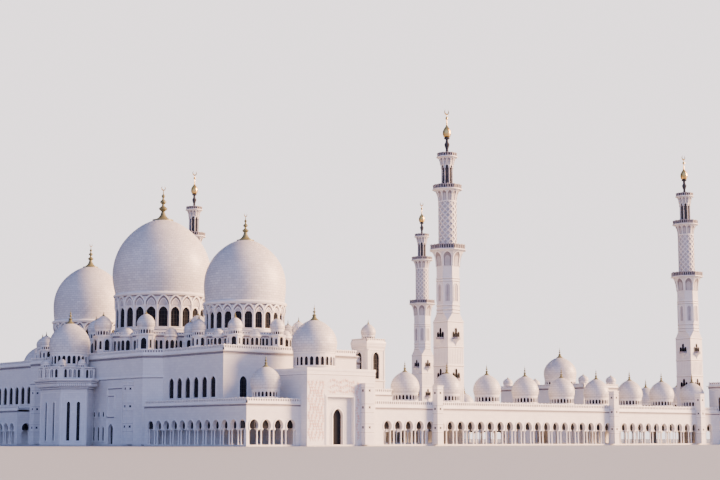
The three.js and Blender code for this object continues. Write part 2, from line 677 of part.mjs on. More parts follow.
// Minarets: a square shaft that turns to an octagon, and a round tower with its balconies
function minaret(name, x, y) {
  const { side, bore } = MINARET;
  const half = side / 2;
  const { top, chamfer, octagon: across } = SHAFT;
  const square = block(-half, half, -half, half, FLOOR + GAP, top);
  const eight = slab(octagon(half), FLOOR, top + 1);
  const plain = block(-half, half, -half, half, FLOOR + GAP, top - chamfer);
  const shaft = cut(join(plain, square.intersect(eight)), well(bore, 0, 0, 8));
  place(`minaret_${name}_shaft`, shaft.translate([x, y, 0]));
  const radius = across / 2 / Math.cos(Math.PI / 8);
  const { low, middle: mid, high } = BALCONY;
  const tower = turned([
    [bore, top + GAP],
    [radius, top + GAP],
    [radius, low - 4.7],
    [5.9, low],
    [5.9, low + 1.6],
    [5.5, low + 1.6],
    [5.5, low + 0.3],
    [2.7, low + 0.3],
    [2.7, mid - 3.4],
    [4.5, mid],
    [4.5, mid + 1.3],
    [4.1, mid + 1.3],
    [4.1, mid + 0.3],
    [bore, mid + 0.3],
    [bore, top + GAP],
  ], 8);
  const crown = turned([
    [0, high - 2.4],
    [2.2, high - 2.4],
    [3.1, high + 1.4],
    [2.75, high + 1.4],
    [2.75, high + 0.3],
    [0.9, high + 0.4],
    [0.6, 96.6],
    [1.3, 98.8],
    [0.2, 101.5],
    [0, 107],
  ], 8);
  const posts = [];
  for (let i = 0; i < 8; i++) {
    posts.push(block(1.5, 2.05, -0.25, 0.25, mid + 0.2, high - 2.2).rotate([0, 0, i * 45]));
  }
  const lantern = join(tower, crown, posts).rotate([0, 0, 22.5]);
  place(`minaret_${name}_tower`, lantern.translate([x, y, 0]));
}

hallFloor();
hall();
for (const [name, dome, window, size, side] of [
  ['main', MAIN_DOME, MAIN_WINDOW, MAIN_STOREY, 1],
  ['south', SIDE_DOME, SIDE_WINDOW, SIDE_STOREY, -1],
  ['north', SIDE_DOME, SIDE_WINDOW, SIDE_STOREY, 1],
]) {
  storey(name, dome, size, side);
  drum(name, dome, window, size, side);
  bigDome(name, dome, side);
}
westBlock();
prayerNicheTower();
terraces();
portals();
courtyardFront();
courtFloor();
wings();
eastWing();
entrance();
gates();
minaret('southwest', MINARET.west, -MINARET.y);
minaret('southeast', MINARET.east, -MINARET.y);
minaret('northeast', MINARET.east, MINARET.y);
minaret('northwest', MINARET.west, MINARET.y);

// The origin is the middle of the whole plan, at ground level
const bounds = new THREE.Box3().setFromObject(model);
model.position.x = -(bounds.min.x + bounds.max.x) / 2;

export default mosque;
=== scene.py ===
import math

import bpy
import numpy as np
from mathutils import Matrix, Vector
from mathutils.geometry import tessellate_polygon


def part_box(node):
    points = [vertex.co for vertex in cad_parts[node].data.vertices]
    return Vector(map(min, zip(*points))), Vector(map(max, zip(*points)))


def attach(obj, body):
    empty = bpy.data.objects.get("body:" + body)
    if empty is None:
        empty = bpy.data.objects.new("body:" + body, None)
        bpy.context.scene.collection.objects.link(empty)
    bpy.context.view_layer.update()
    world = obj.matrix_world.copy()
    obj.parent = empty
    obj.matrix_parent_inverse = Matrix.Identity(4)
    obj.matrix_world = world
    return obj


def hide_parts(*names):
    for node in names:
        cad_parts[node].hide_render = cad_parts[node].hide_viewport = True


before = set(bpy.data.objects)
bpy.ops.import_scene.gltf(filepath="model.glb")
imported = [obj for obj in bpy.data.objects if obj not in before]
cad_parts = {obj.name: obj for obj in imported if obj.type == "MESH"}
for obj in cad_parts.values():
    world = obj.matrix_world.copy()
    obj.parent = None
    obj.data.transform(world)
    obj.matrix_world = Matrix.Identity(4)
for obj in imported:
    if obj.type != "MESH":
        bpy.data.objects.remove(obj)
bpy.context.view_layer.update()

# Sizes below are in metres of the real building, measured from the foot of the main dome's axis.
SCALE = 0.1
MAIN_LOW, MAIN_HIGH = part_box("main_dome")
ORIGIN = np.array([(MAIN_LOW.x + MAIN_HIGH.x) / 2, 0.0, 0.0])

# Levels, and how thick the walls are
FLOOR = 0.45
WING_EAVES = 10.9
WING_ROOF = 11.6
WING_TOP = 13.0
HALL_EAVES = 26.5
HALL_WALLS = HALL_EAVES - 0.1
HALL_TOP = 28.3
WALL = 1.1

# Plan
HALL = {"west": -23.7, "east": 24.3, "half": 69.6}
WEST_BLOCK = {"west": -28.0, "half": 34.6, "chamfer": 4.2, "pylon_y": 28.6}
WEST_DOOR_Y = 17.2
TOWER = {
    "west": -39.2, "face": 6.3, "side": 12.0, "x": -33.1, "floor": 19.75, "top": 23.7,
    "gallery": 8.6, "turrets": 7.8, "turret": 1.08,
}
TERRACE = {"west": -30.0, "half": 89.6, "inner": 39.2, "dome_x": -18.8, "dome_y": -82.8}
PORTAL = {"half": 12.1, "front": 92.6, "top": 21.2, "dome_y": -80.2}
FACADE = {"east": 46.5, "half": 45.0, "tower": 50.0, "side": 7.6, "top": 33.0, "tip": 40.6}
WING = {
    "west": 12.2, "east": 198.0, "front": 91.6, "court": 62.0, "first_arch": 15.4, "last_arch": 167.2,
}
WING_DOMES = {"first": 30.93, "pitch": 16.9, "count": 9, "y": -84.0}
WING_PYLONS = (35.95, 113.85, 158.95)
PYLON = 2.2
EAST = {"court": 172.0, "front": 198.0, "domes_x": 192.0, "domes_y": (-57.5, -42.4)}
GATE = {"west": 171.0, "east": 190.6, "front": 96.6, "back": 87.5, "top": 21.6}
ENTRANCE = {"west": 179.0, "east": 199.5, "half": 22.6, "top": 23.4, "dome_x": 190.3}
MINARET = {
    "west": 60.0, "east": 180.76, "y": 72.0, "half": 3.35, "flats": 3.55, "round": 2.7, "neck": 38.4,
    "windows": (20.0, 32.7), "square_courses": (10.4, 24.4, 30.2, 38.1),
    "eight_courses": (40.9, 41.9, 43.2, 50.9, 51.7), "flutes": ((11.2, 17.4), (25.2, 29.8)),
}
LOW_BALCONY = {"neck": 3.9, "radius": 5.9, "low": 55.6, "high": 60.8, "sides": 8, "height": 1.7}
MIDDLE_BALCONY = {"neck": 2.8, "radius": 4.6, "low": 76.6, "high": 80.2, "sides": 12, "height": 1.5}
TOP_BALCONY = {"neck": 2.05, "radius": 3.2, "low": 88.1, "high": 90.7, "sides": 12, "height": 1.3}

# Raised frames on each half of the west block: near edge, far edge, foot and top
WEST_FRAMES = ((14.9, 24.0, FLOOR, 17.1), (15.1, 19.5, 10.9, 14.9), (14.9, 19.7, 8.3, 8.6))

# The camera that was fitted to the photo, with its lens in millimetres
CAMERA = {"place": (-260.74, -410.41, 2.01), "heading": 49.94, "pitch": 7.62, "lens": 74.32}

# Great domes and the eight-sided storeys that carry them
MAIN_DOME = {"y": 0.0, "drum": 14.6, "wide": 15.95, "foot": 47.7, "belly": 54.8, "crown": 73.2, "tip": 84.2}
SIDE_DOME = {"y": 46.36, "drum": 11.8, "wide": 12.35, "foot": 42.0, "belly": 47.8, "crown": 61.8, "tip": 69.8}
MAIN_WINDOW = {"width": 2.9, "sill": 37.2, "head": 43.5}
SIDE_WINDOW = {"width": 2.25, "sill": 34.3, "head": 39.4}
MAIN_STOREY = {
    "ring": 21.4, "wall": 19.8, "turret": 2.75, "foot": 26.6, "top": 34.2, "shoulder": 36.3, "apse": 2.0,
    "slit": 0.95, "slits_at": (3.1, 4.6), "sill": 29.4, "head": 32.6,
}
SIDE_STOREY = {
    "ring": 16.4, "wall": 15.4, "turret": 2.1, "foot": 26.6, "top": 32.0, "shoulder": 33.7, "apse": 1.6,
    "slit": 0.75, "slits_at": (2.35, 3.45), "sill": 29.0, "head": 31.2,
}
MAIN_TURRET = {"sill": 29.5, "head": 33.0, "top": 36.0, "crown": 40.5, "tip": 42.1}
SIDE_TURRET = {"sill": 28.9, "head": 31.5, "top": 33.4, "crown": 36.9, "tip": 38.6}
DRUM_BAYS = 24

# Small domes, from the roof that they stand on
MEDIUM_DOME = {
    "drum": 5.9, "wide": 6.25, "foot": 4.5, "belly": 7.2, "crown": 13.9, "tip": 18.4,
    "sill": 1.1, "head": 3.6, "bays": 24,
}
PORTAL_DOME = {
    "drum": 5.9, "wide": 6.5, "foot": 6.2, "belly": 8.8, "crown": 15.7, "tip": 20.2,
    "sill": 2.6, "head": 5.1, "bays": 24,
}
ENTRANCE_DOME = {
    "drum": 6.2, "wide": 6.6, "foot": 3.6, "belly": 6.0, "crown": 12.6, "tip": 16.8,
    "sill": 0.7, "head": 2.7, "bays": 24,
}
SMALL_DOME = {
    "drum": 3.75, "wide": 4.25, "foot": 3.5, "belly": 5.3, "crown": 10.0, "tip": 13.4,
    "sill": 1.75, "head": 3.15, "bays": 22,
}


class Form:
    """Points with four-sided and three-sided faces, and each point's place in the courses of stone:
    how far along, how far up, and the length after which the courses close (0 if they don't)."""

    def __init__(self, points=(), quads=(), tris=(), course=None):
        self.points = np.array(points, float).reshape(-1, 3)
        self.quads = np.array(quads, int).reshape(-1, 4)
        self.tris = np.array(tris, int).reshape(-1, 3)
        if course is None:
            x, y, z = self.points.T
            course = np.stack([x + y, z, 0 * x], axis=1)
        self.course = np.array(course, float).reshape(-1, 3)


def flat(items):
    """All forms in lists within lists."""
    for item in items:
        if isinstance(item, Form):
            yield item
        else:
            yield from flat(item)


def join(*items):
    """One form of many."""
    forms = list(flat(items))
    starts = np.cumsum([0] + [len(f.points) for f in forms])
    return Form(
        np.vstack([f.points for f in forms]),
        np.vstack([f.quads + s for f, s in zip(forms, starts)]),
        np.vstack([f.tris + s for f, s in zip(forms, starts)]),
        np.vstack([f.course for f in forms]),
    )


def moved(form, x=0.0, y=0.0, z=0.0, turn=0.0):
    """Turns a form about the vertical, in degrees, and then moves it."""
    c, s = math.cos(math.radians(turn)), math.sin(math.radians(turn))
    spin = np.array([[c, s, 0], [-s, c, 0], [0, 0, 1]])
    return Form(form.points @ spin + np.array([x, y, z]), form.quads, form.tris, form.course)


def mirrored(form):
    """The same form on the other side of the building's middle axis."""
    return Form(form.points * np.array([1, -1, 1]), form.quads[:, ::-1], form.tris[:, ::-1], form.course)


def around(form, count, x=0.0, y=0.0, start=0.0):
    """Copies of a form, turned about the vertical and set round a point."""
    return join([moved(form, x, y, 0, start + i * 360 / count) for i in range(count)])


def box(x0, x1, y0, y1, z0, z1):
    """A closed box."""
    points = [(x, y, z) for x in (x0, x1) for y in (y0, y1) for z in (z0, z1)]
    quads = [(0, 1, 3, 2), (4, 6, 7, 5), (0, 4, 5, 1), (2, 3, 7, 6), (0, 2, 6, 4), (1, 5, 7, 3)]
    return Form(points, quads)


def rectangle(low_u, high_u, low_v, high_v):
    """The corners of an upright rectangle, anticlockwise."""
    return [(low_u, low_v), (high_u, low_v), (high_u, high_v), (low_u, high_v)]


def courses(rows):
    """Each point's place in the courses of a skin over rows of points."""
    girths = [[math.dist(a, b) for a, b in zip(row, row[1:] + row[:1])] for row in rows]
    along = np.concatenate([[0], np.cumsum(max(girths, key=sum))])
    up, places = rows[0][0][2], []
    for number, row in enumerate(rows):
        if number:
            up += math.dist(rows[number - 1][0], row[0])
        for i in range(len(row)):
            places.append((along[i] if len(row) > 1 else along[-1] / 2, up, along[-1]))
    return places


def rings(rows):
    """A skin over rows of points that run anticlockwise. A row of one point closes a tip."""
    starts = np.cumsum([0] + [len(row) for row in rows])
    quads, tris = [], []
    for a in range(len(rows) - 1):
        low, high = starts[a], starts[a + 1]
        count = max(len(rows[a]), len(rows[a + 1]))
        for i in range(count):
            j = (i + 1) % count
            if len(rows[a]) == 1:
                tris.append((low, high + j, high + i))
            elif len(rows[a + 1]) == 1:
                tris.append((low + i, low + j, high))
            else:
                quads.append((low + i, low + j, high + j, high + i))
    return Form([p for row in rows for p in row], quads, tris, courses(rows))


def polygon(sides, radius, x=0.0, y=0.0, phase=0.5):
    """The corners of an even-sided outline, anticlockwise. The phase is a share of one side."""
    turns = [(i + phase) * 2 * math.pi / sides for i in range(sides)]
    return [(x + radius * math.cos(t), y + radius * math.sin(t)) for t in turns]


def star(corners, x, y, outer, inner, phase=0.0):
    """A flat star, whose corners lie in and out by turns."""
    reach = [outer if k % 2 else inner for k in range(corners)]
    return [(x + r * u, y + r * v) for r, (u, v) in zip(reach, polygon(corners, 1.0, phase=phase))]


def lathe(profile, segments, x=0.0, y=0.0, phase=0.0):
    """A profile of (radius, level) pairs turned about the vertical, from its foot up."""
    rows = []
    for radius, level in profile:
        outline = polygon(segments, radius, x, y, phase) if radius > 1e-6 else [(x, y)]
        rows.append([(px, py, level) for px, py in outline])
    return rings(rows)


def offset(outline, distance):
    """A convex outline, anticlockwise, grown outwards."""
    grown = []
    count = len(outline)
    for i, here in enumerate(outline):
        before, after = Vector(outline[i - 1]), Vector(outline[(i + 1) % count])
        here = Vector(here)
        a, b = (here - before).normalized(), (after - here).normalized()
        na, nb = Vector((a.y, -a.x)), Vector((b.y, -b.x))
        corner = here + (na + nb) * distance / (1 + na.dot(nb))
        grown.append((corner.x, corner.y))
    return grown


def edges(outline, skip=()):
    """The number, start, length and turn of each edge of an outline that runs anticlockwise."""
    for i, corner in enumerate(outline):
        if i not in skip:
            run = Vector(outline[(i + 1) % len(outline)]) - Vector(corner)
            yield i, corner, run.length, math.degrees(math.atan2(run.y, run.x))


def loft(outline, profile):
    """A moulded course round a convex outline: (offset, level) pairs, from its foot up."""
    return rings([[(px, py, level) for px, py in offset(outline, out)] for out, level in profile])


def cap(outline, level, up=True):
    """A level plate inside an outline, which looks up or down."""
    tris = np.array(tessellate_polygon([[Vector((x, y, 0)) for x, y in outline]]), int)
    return oriented(Form([(x, y, level) for x, y in outline], (), tris), (0, 0, 1 if up else -1))


def oriented(form, direction):
    """Turns every three-sided face of a flat form to look along a direction."""
    a, b, c = (form.points[form.tris[:, k]] for k in range(3))
    away = np.einsum("ij,j->i", np.cross(b - a, c - a), np.array(direction, float)) < 0
    form.tris[away] = form.tris[away][:, ::-1]
    return form


def panel(outer, holes, back, front, mitre=0.0):
    """A plate on a wall that looks south: loops of (along, up) points, from depth back to front.
    A mitre shortens its back at both ends, so that two plates meet at a corner."""
    loops = [list(outer)] + [list(h) for h in holes]
    tris = np.array(tessellate_polygon([[Vector((u, v, 0)) for u, v in loop] for loop in loops]), int)
    low, high = min(u for u, _ in outer), max(u for u, _ in outer)

    def inner(u):
        return u + mitre if u == low else u - mitre if u == high else u

    face = oriented(Form([(u, -front, v) for loop in loops for u, v in loop], (), tris), (0, -1, 0))
    rear = [(inner(u), -back, v) for loop in loops for u, v in loop]
    rear = oriented(Form(rear, (), tris.copy()), (0, 1, 0))
    sides = []
    for number, loop in enumerate(loops):
        area = sum(u0 * v1 - u1 * v0 for (u0, v0), (u1, v1) in zip(loop, loop[1:] + loop[:1]))
        run = loop if (area > 0) == (number == 0) else loop[::-1]
        sides.append(rings([[(inner(u), -back, v) for u, v in run], [(u, -front, v) for u, v in run]]))
    return join(face, rear, sides)


def arch(width, foot, top, rise=0.62, lean=0.3, steps=6):
    """A pointed arch from its left foot over the point to its right foot. A high rise swells it."""
    half = width / 2
    spring = top - rise * width
    reach = lean * half
    centre = (top + spring) / 2 - (half * half + 2 * reach * half) / (2 * (top - spring))
    radius = math.hypot(half + reach, spring - centre)
    low = math.atan2(spring - centre, half + reach)
    high = math.atan2(top - centre, reach)
    left = [(-half, foot)] if foot < spring - 0.01 else []
    for i in range(steps):
        t = low + (high - low) * i / steps
        left.append((reach - radius * math.cos(t), centre + radius * math.sin(t)))
    return left + [(0.0, top)] + [(-u, v) for u, v in reversed(left)]


def filled(points, out, rungs=5):
    """A skin inside an arch on a wall that looks south, in level strips."""
    (u, foot), (_, spring) = points[:2]
    rows = [(u, foot + (spring - foot) * k / rungs) for k in range(rungs)]
    rows += points[1 : len(points) // 2 + 1]
    count = len(rows)
    corners = [(u, -out, v) for u, v in rows] + [(-u, -out, v) for u, v in rows]
    return Form(corners, [(i, i + count, i + count + 1, i + 1) for i in range(count - 1)])


def shifted(points, along):
    """A line of points moved along its wall."""
    return [(u + along, v) for u, v in points]


def widened(points, distance):
    """An open line of (along, up) points moved out to its left side."""
    moved_points = []
    for i, here in enumerate(points):
        before = Vector(points[max(i - 1, 0)])
        after = Vector(points[min(i + 1, len(points) - 1)])
        here = Vector(here)
        a = (here - before).normalized() if i else (after - here).normalized()
        b = (after - here).normalized() if i < len(points) - 1 else a
        na, nb = Vector((-a.y, a.x)), Vector((-b.y, b.x))
        corner = here + (na + nb) * distance / max(1 + na.dot(nb), 0.4)
        moved_points.append((corner.x, corner.y))
    return moved_points


def band(points, width, back, front):
    """A raised moulding that follows the outside of an open line on a wall that looks south."""
    outer = widened(points, width)
    rows = [
        [(u, -back, v) for u, v in points],
        [(u, -front, v) for u, v in points],
        [(u, -front, v) for u, v in outer],
        [(u, -back, v) for u, v in outer],
    ]
    count = len(points)
    quads = []
    for k in range(4):
        for i in range(count - 1):
            a, b = k * count + i, ((k + 1) % 4) * count + i
            quads.append((a, b, b + 1, a + 1))
    ends = [(0, 3 * count, 2 * count, count), (count - 1, 2 * count - 1, 3 * count - 1, 4 * count - 1)]
    return Form([p for row in rows for p in row], quads + ends)


def bent(form, radius):
    """Wraps a form from a wall that looks south round a drum of that radius."""
    angle = form.points[:, 0] / radius - math.pi / 2
    reach = radius - form.points[:, 1]
    points = np.stack([reach * np.cos(angle), reach * np.sin(angle), form.points[:, 2]], axis=1)
    return Form(points, form.quads, form.tris, form.course)


def draped(form, profile, sides):
    """Lays a form from a wall that looks south on one side of a flared skin, wider as that is wider."""
    radii, levels = zip(*profile)
    reach = np.interp(form.points[:, 2], levels, radii)
    x = form.points[:, 0] * reach / radii[0]
    y = form.points[:, 1] - reach * math.cos(math.pi / sides)
    return Form(np.stack([x, y, form.points[:, 2]], axis=1), form.quads, form.tris, form.course)


def tube(points, radii, sides=6):
    """A round bar along a line of points, with a radius at each."""
    rows = []
    for i, here in enumerate(points):
        here = Vector(here)
        axis = (Vector(points[min(i + 1, len(points) - 1)]) - Vector(points[max(i - 1, 0)])).normalized()
        side = axis.cross(Vector((0, 0, 1)) if abs(axis.z) < 0.9 else Vector((1, 0, 0))).normalized()
        other = axis.cross(side)
        turns = [2 * math.pi * k / sides for k in range(sides)]
        rows.append([tuple(here + radii[i] * (math.cos(t) * side + math.sin(t) * other)) for t in turns])
    return rings([[tuple(points[0])], *rows, [tuple(points[-1])]])


# Building blocks

def column(x, y, foot, top, radius, segments=8):
    """A round column with a base and a capital."""
    r = radius
    return lathe([
        (0, foot), (1.5 * r, foot), (1.5 * r, foot + 0.6 * r), (r, foot + 1.4 * r),
        (0.88 * r, top - 2.6 * r), (1.05 * r, top - 2.4 * r), (0.9 * r, top - 2.1 * r),
        (1.5 * r, top - 0.9 * r), (1.6 * r, top), (0, top),
    ], segments, x, y)


def finial(part, x, y, foot, tip, segments=12, crescent=False):
    """A flared foot and bulbs on a stem, with a spike or a gilded crescent."""
    h = tip - foot
    cone = [(0.25, 0.0), (0.16, 0.05), (0.09, 0.12), (0.06, 0.2)]
    stem = [(0.06, 0.19), (0.13, 0.25), (0.14, 0.29), (0.05, 0.36), (0.04, 0.42), (0.1, 0.47), (0.1, 0.51),
            (0.04, 0.57), (0.03, 0.63), (0.06, 0.67), (0.06, 0.7), (0.02, 0.75), (0.012, 0.88)]
    if not crescent:
        stem.append((0, 1.0))
        part.add("bronze", lathe([(r * h, foot + z * h) for r, z in cone], segments, x, y))
    else:
        part.add("gold", moon(x, y, foot + 0.95 * h, 0.07 * h))
    part.add("bronze", lathe([(r * h, foot + z * h) for r, z in stem], segments, x, y))


def moon(x, y, level, radius):
    """A crescent that opens upwards and looks to the south."""
    steps = 20
    turns = np.radians(np.linspace(-232, 52, steps + 1))
    line = [(x + radius * math.cos(t), y, level + radius * math.sin(t)) for t in turns]
    thick = [radius * (0.05 + 0.24 * math.sin(math.pi * k / steps)) for k in range(steps + 1)]
    return tube(line, thick)


def opening(part, place, width, foot, top, depth, hood, sill=True, **shape):
    """What fills and frames an arched window on a wall that looks south: pane, bars, frame and sill."""
    outline = arch(width, foot, top, **shape)
    part.add("glass", place(panel(outline, [], -depth - 0.08, -depth)))
    part.add("trim", place(band(outline, hood, -0.05, 0.16)))
    count = 2 if width < 1.6 else 3
    reach = top - 0.45 * width
    strips = []
    for i in range(1, count):
        u = -width / 2 + width * i / count
        strips.append(box(u - 0.05, u + 0.05, depth - 0.1, depth, foot, reach))
    rows = max(2, int((reach - foot) / 1.1))
    for i in range(1, rows + 1):
        v = foot + (reach - foot) * i / rows
        strips.append(box(-width / 2, width / 2, depth - 0.09, depth, v - 0.05, v + 0.05))
    part.add("bars", place(join(strips)))
    if sill:
        out = width / 2 + hood + 0.1
        part.add("trim", place(box(-out, out, -0.3, 0.05, foot - 0.3, foot - 0.02)))


def along_edges(outline, make, skip=()):
    """Sets a form made for each edge's length along that edge, looking out."""
    return join([moved(make(length), *corner, 0, turn) for _, corner, length, turn in edges(outline, skip)])


def parapet(part, outline, foot, height, skip=(), shares=(0.42, 0.76, 0.88), stone="trim", backing_shade="shade"):
    """A low wall with a plain foot, a row of slots backed by a strip of painted shade, and pointed merlons.
    """
    pitch = 0.8
    low, high, head = (foot + share * height for share in shares)

    def wall(length):
        step = length / max(1, round(length / pitch))
        items = [box(0, length, 0, 0.34, foot, low), box(0, length, -0.06, 0.4, high, head)]
        for i in range(round(length / step)):
            at = (i + 0.5) * step
            items.append(box(at - 0.2 * step, at + 0.2 * step, 0, 0.3, low, high))
            base = [(at - 0.3, 0.02), (at + 0.3, 0.02), (at + 0.3, 0.3), (at - 0.3, 0.3)]
            if i % 2 == 0:
                items.append(rings([[(u, w, head) for u, w in base], [(at, 0.16, foot + height)]]))
        return join(items)

    part.add(stone, along_edges(outline, wall, skip))
    # A strip of painted shade behind the slots, so that they read as pierced.
    part.add(backing_shade, along_edges(outline, lambda length: box(0, length, 0.26, 0.32, low, high), skip))


def moulding(outline, profile, skip):
    """A moulded course round an outline, or along some of its edges only."""
    if not skip:
        return loft(outline, profile)

    def course(length):
        points = [(end, -out, level) for out, level in profile for end in (-out, length + out)]
        quads = [(2 * k, 2 * k + 1, 2 * k + 3, 2 * k + 2) for k in range(len(profile) - 1)]
        return Form(points, quads)

    return along_edges(outline, course, skip)


# A cornice's profile: how far out and up from its level, for a size of 1
CORNICE = [
    (0, -1.2), (0.15, -1.1), (0.15, -0.85), (0.04, -0.8), (0.04, -0.36), (0.5, -0.24), (0.62, 0), (-0.4, 0),
]


def cornice(part, outline, level, size=1.0, skip=()):
    """A cornice, with a band of painted shade in the hollow under its edge."""
    part.add("trim", moulding(outline, [(out * size, level + up * size) for out, up in CORNICE], skip))
    # Painted shade in the hollow under the cornice's edge.
    hollow = [(0.16 * size, level - 0.95 * size), (0.16 * size, level - 0.37 * size)]
    part.add("shade", moulding(outline, hollow, skip))


def fillets(part, outline, levels, out, tall):
    """Plain string courses round an outline, each from one of the levels up, with a line of painted shadow
    under each.
    """
    for level in levels:
        part.add("trim", loft(outline, [
            (0, level), (out, level + 0.2 * tall), (out, level + 0.8 * tall), (0, level + tall),
        ]))
        part.add("shade", loft(outline, [(0.02, level - 0.3 * tall), (0.02, level + 0.02)]))


class Part:
    """A sub-part of the building: its forms, gathered by finish."""

    def __init__(self, name, *nodes):
        self.name = name
        self.nodes = nodes or (name,)
        self.forms = {}

    def add(self, finish, *forms):
        self.forms.setdefault(finish, []).extend(forms)

    def take(self, other, change):
        """Adds all forms of another part, each changed by a function."""
        for finish, forms in other.forms.items():
            self.add(finish, change(join(forms)))

    def change(self, change):
        """Changes all forms by a function."""
        self.forms = {finish: [change(join(forms))] for finish, forms in self.forms.items()}

    def build(self, side=-1):
        """Makes a piece of each finish. What was made for the south is mirrored for the north (side 1)."""
        if side > 0:
            self.change(mirrored)
        for finish, forms in self.forms.items():
            make_piece(f"{self.name}_{finish}", join(forms), finish)
        first = bpy.data.objects[f"{self.name}_{next(iter(self.forms))}"]
        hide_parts(*self.nodes)


def lay_courses(mesh, form):
    """Gives each corner of each face its place in the courses, unrolled where they close."""
    corners = []
    for faces in (form.quads, form.tris):
        along, up, girth = (form.course[faces, k] for k in range(3))
        behind = along < along.max(axis=1, keepdims=True) - girth / 2
        along = along + np.where((girth > 0) & behind, girth, 0)
        corners.append(np.stack([along, up], axis=-1).reshape(-1, 2))
    layer = mesh.uv_layers.new(name="courses")
    layer.data.foreach_set("uv", np.vstack(corners).ravel())


def make_piece(name, form, finish):
    """Makes a form in its finish and sets it on the model."""
    points = form.points * SCALE + ORIGIN
    mesh = bpy.data.meshes.new(name)
    mesh.from_pydata(points.tolist(), [], form.quads.tolist() + form.tris.tolist())
    lay_courses(mesh, form)
    mesh.shade_smooth()
    mesh.set_sharp_from_angle(angle=math.radians(32))
    piece = bpy.data.objects.new(name, mesh)
    bpy.context.scene.collection.objects.link(piece)
    mesh.materials.append(MATERIALS[finish])
    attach(piece, "root")


# Materials

def feed(tree, node, inputs):
    """Gives inputs of a node their values, or links them to the sockets that feed them."""
    for name, value in inputs.items():
        socket = node.inputs[name]
        if isinstance(value, bpy.types.NodeSocket):
            tree.links.new(value, socket)
        else:
            socket.default_value = (*value, 1) if socket.type == "RGBA" else value


def add_node(tree, kind, inputs, **settings):
    node = tree.nodes.new(kind)
    for name, value in settings.items():
        setattr(node, name, value)
    feed(tree, node, inputs)
    return node


def noise(tree, places, scale, detail, roughness=0.55):
    inputs = {"Vector": places, "Scale": scale, "Detail": detail, "Roughness": roughness}
    return add_node(tree, "ShaderNodeTexNoise", inputs).outputs["Fac"]


def ranged(tree, value, low, high, start=0.35, end=0.65):
    """A value that runs from low to high while its source runs from start to end."""
    inputs = {"Value": value, "From Min": start, "From Max": end, "To Min": low, "To Max": high}
    return add_node(tree, "ShaderNodeMapRange", inputs).outputs["Result"]


def tinted(tree, factor, first, second):
    """A mix of two colors, each a tuple or a socket. They are inputs 6 and 7 of a mix node, and output 2."""
    inputs = {"Factor": factor, 6: first, 7: second}
    return add_node(tree, "ShaderNodeMix", inputs, data_type="RGBA").outputs[2]


def bumped(tree, height, strength, distance):
    """The slopes of fine relief."""
    inputs = {"Height": height, "Strength": strength, "Distance": distance}
    return add_node(tree, "ShaderNodeBump", inputs).outputs["Normal"]


def new_material(name):
    """A material with its tree and shader."""
    material = bpy.data.materials.new(name)
    material.use_nodes = True
    return material, material.node_tree, material.node_tree.nodes["Principled BSDF"]


def marble(name, tones, block, joint, roughness, relief, level=False):
    """Marble in courses of blocks, each a little different, with soft veins and streaks of wear.
    Level paving takes its places from the plan, and walls and domes from their courses."""
    pale, deep, joint_color = tones
    material, tree, shader = new_material(name)
    source = tree.nodes.new("ShaderNodeTexCoord").outputs
    places = source["Object" if level else "UV"]
    brick = add_node(tree, "ShaderNodeTexBrick", {
        "Vector": places, "Scale": 1 / SCALE if level else 1.0, "Brick Width": block[0],
        "Row Height": block[1], "Mortar Size": joint, "Mortar Smooth": 0.3,
        "Color1": pale, "Color2": deep, "Mortar": joint_color,
    })
    stretched = add_node(tree, "ShaderNodeVectorMath", {0: places, 1: (0.16, 1.1, 1.0)}, operation="MULTIPLY")
    worn = ranged(tree, noise(tree, stretched.outputs["Vector"], 1.0, 5.0, 0.6), 0.0, 0.5, 0.42, 0.72)
    veins = noise(tree, source["Object"], 1.6, 7.0, 0.62)
    color = tinted(tree, worn, brick.outputs["Color"], deep)
    color = tinted(tree, ranged(tree, veins, 0.0, 0.3, 0.42, 0.7), color, joint_color)
    grain = noise(tree, source["Object"], 30.0, 3.0)
    height = add_node(tree, "ShaderNodeMath", {0: grain, 1: brick.outputs["Fac"]}, operation="SUBTRACT")
    feed(tree, shader, {
        "Base Color": color, "Roughness": ranged(tree, veins, roughness - 0.08, roughness + 0.1),
        "Normal": bumped(tree, height.outputs[0], relief, 0.004),
    })
    return material


def plain(name, first, second, scale, roughness, metallic=0.0, relief=0.15, gloss=0.5):
    """A finish of two tones that drift into each other, with fine relief."""
    material, tree, shader = new_material(name)
    places = tree.nodes.new("ShaderNodeTexCoord").outputs["Object"]
    drift = noise(tree, places, scale, 6.0)
    feed(tree, shader, {
        "Base Color": tinted(tree, ranged(tree, drift, 0.0, 1.0), first, second),
        "Roughness": ranged(tree, drift, *roughness), "Metallic": metallic, "Specular IOR Level": gloss,
        "Normal": bumped(tree, noise(tree, places, scale * 9, 3.0), relief, 0.003),
    })
    return material


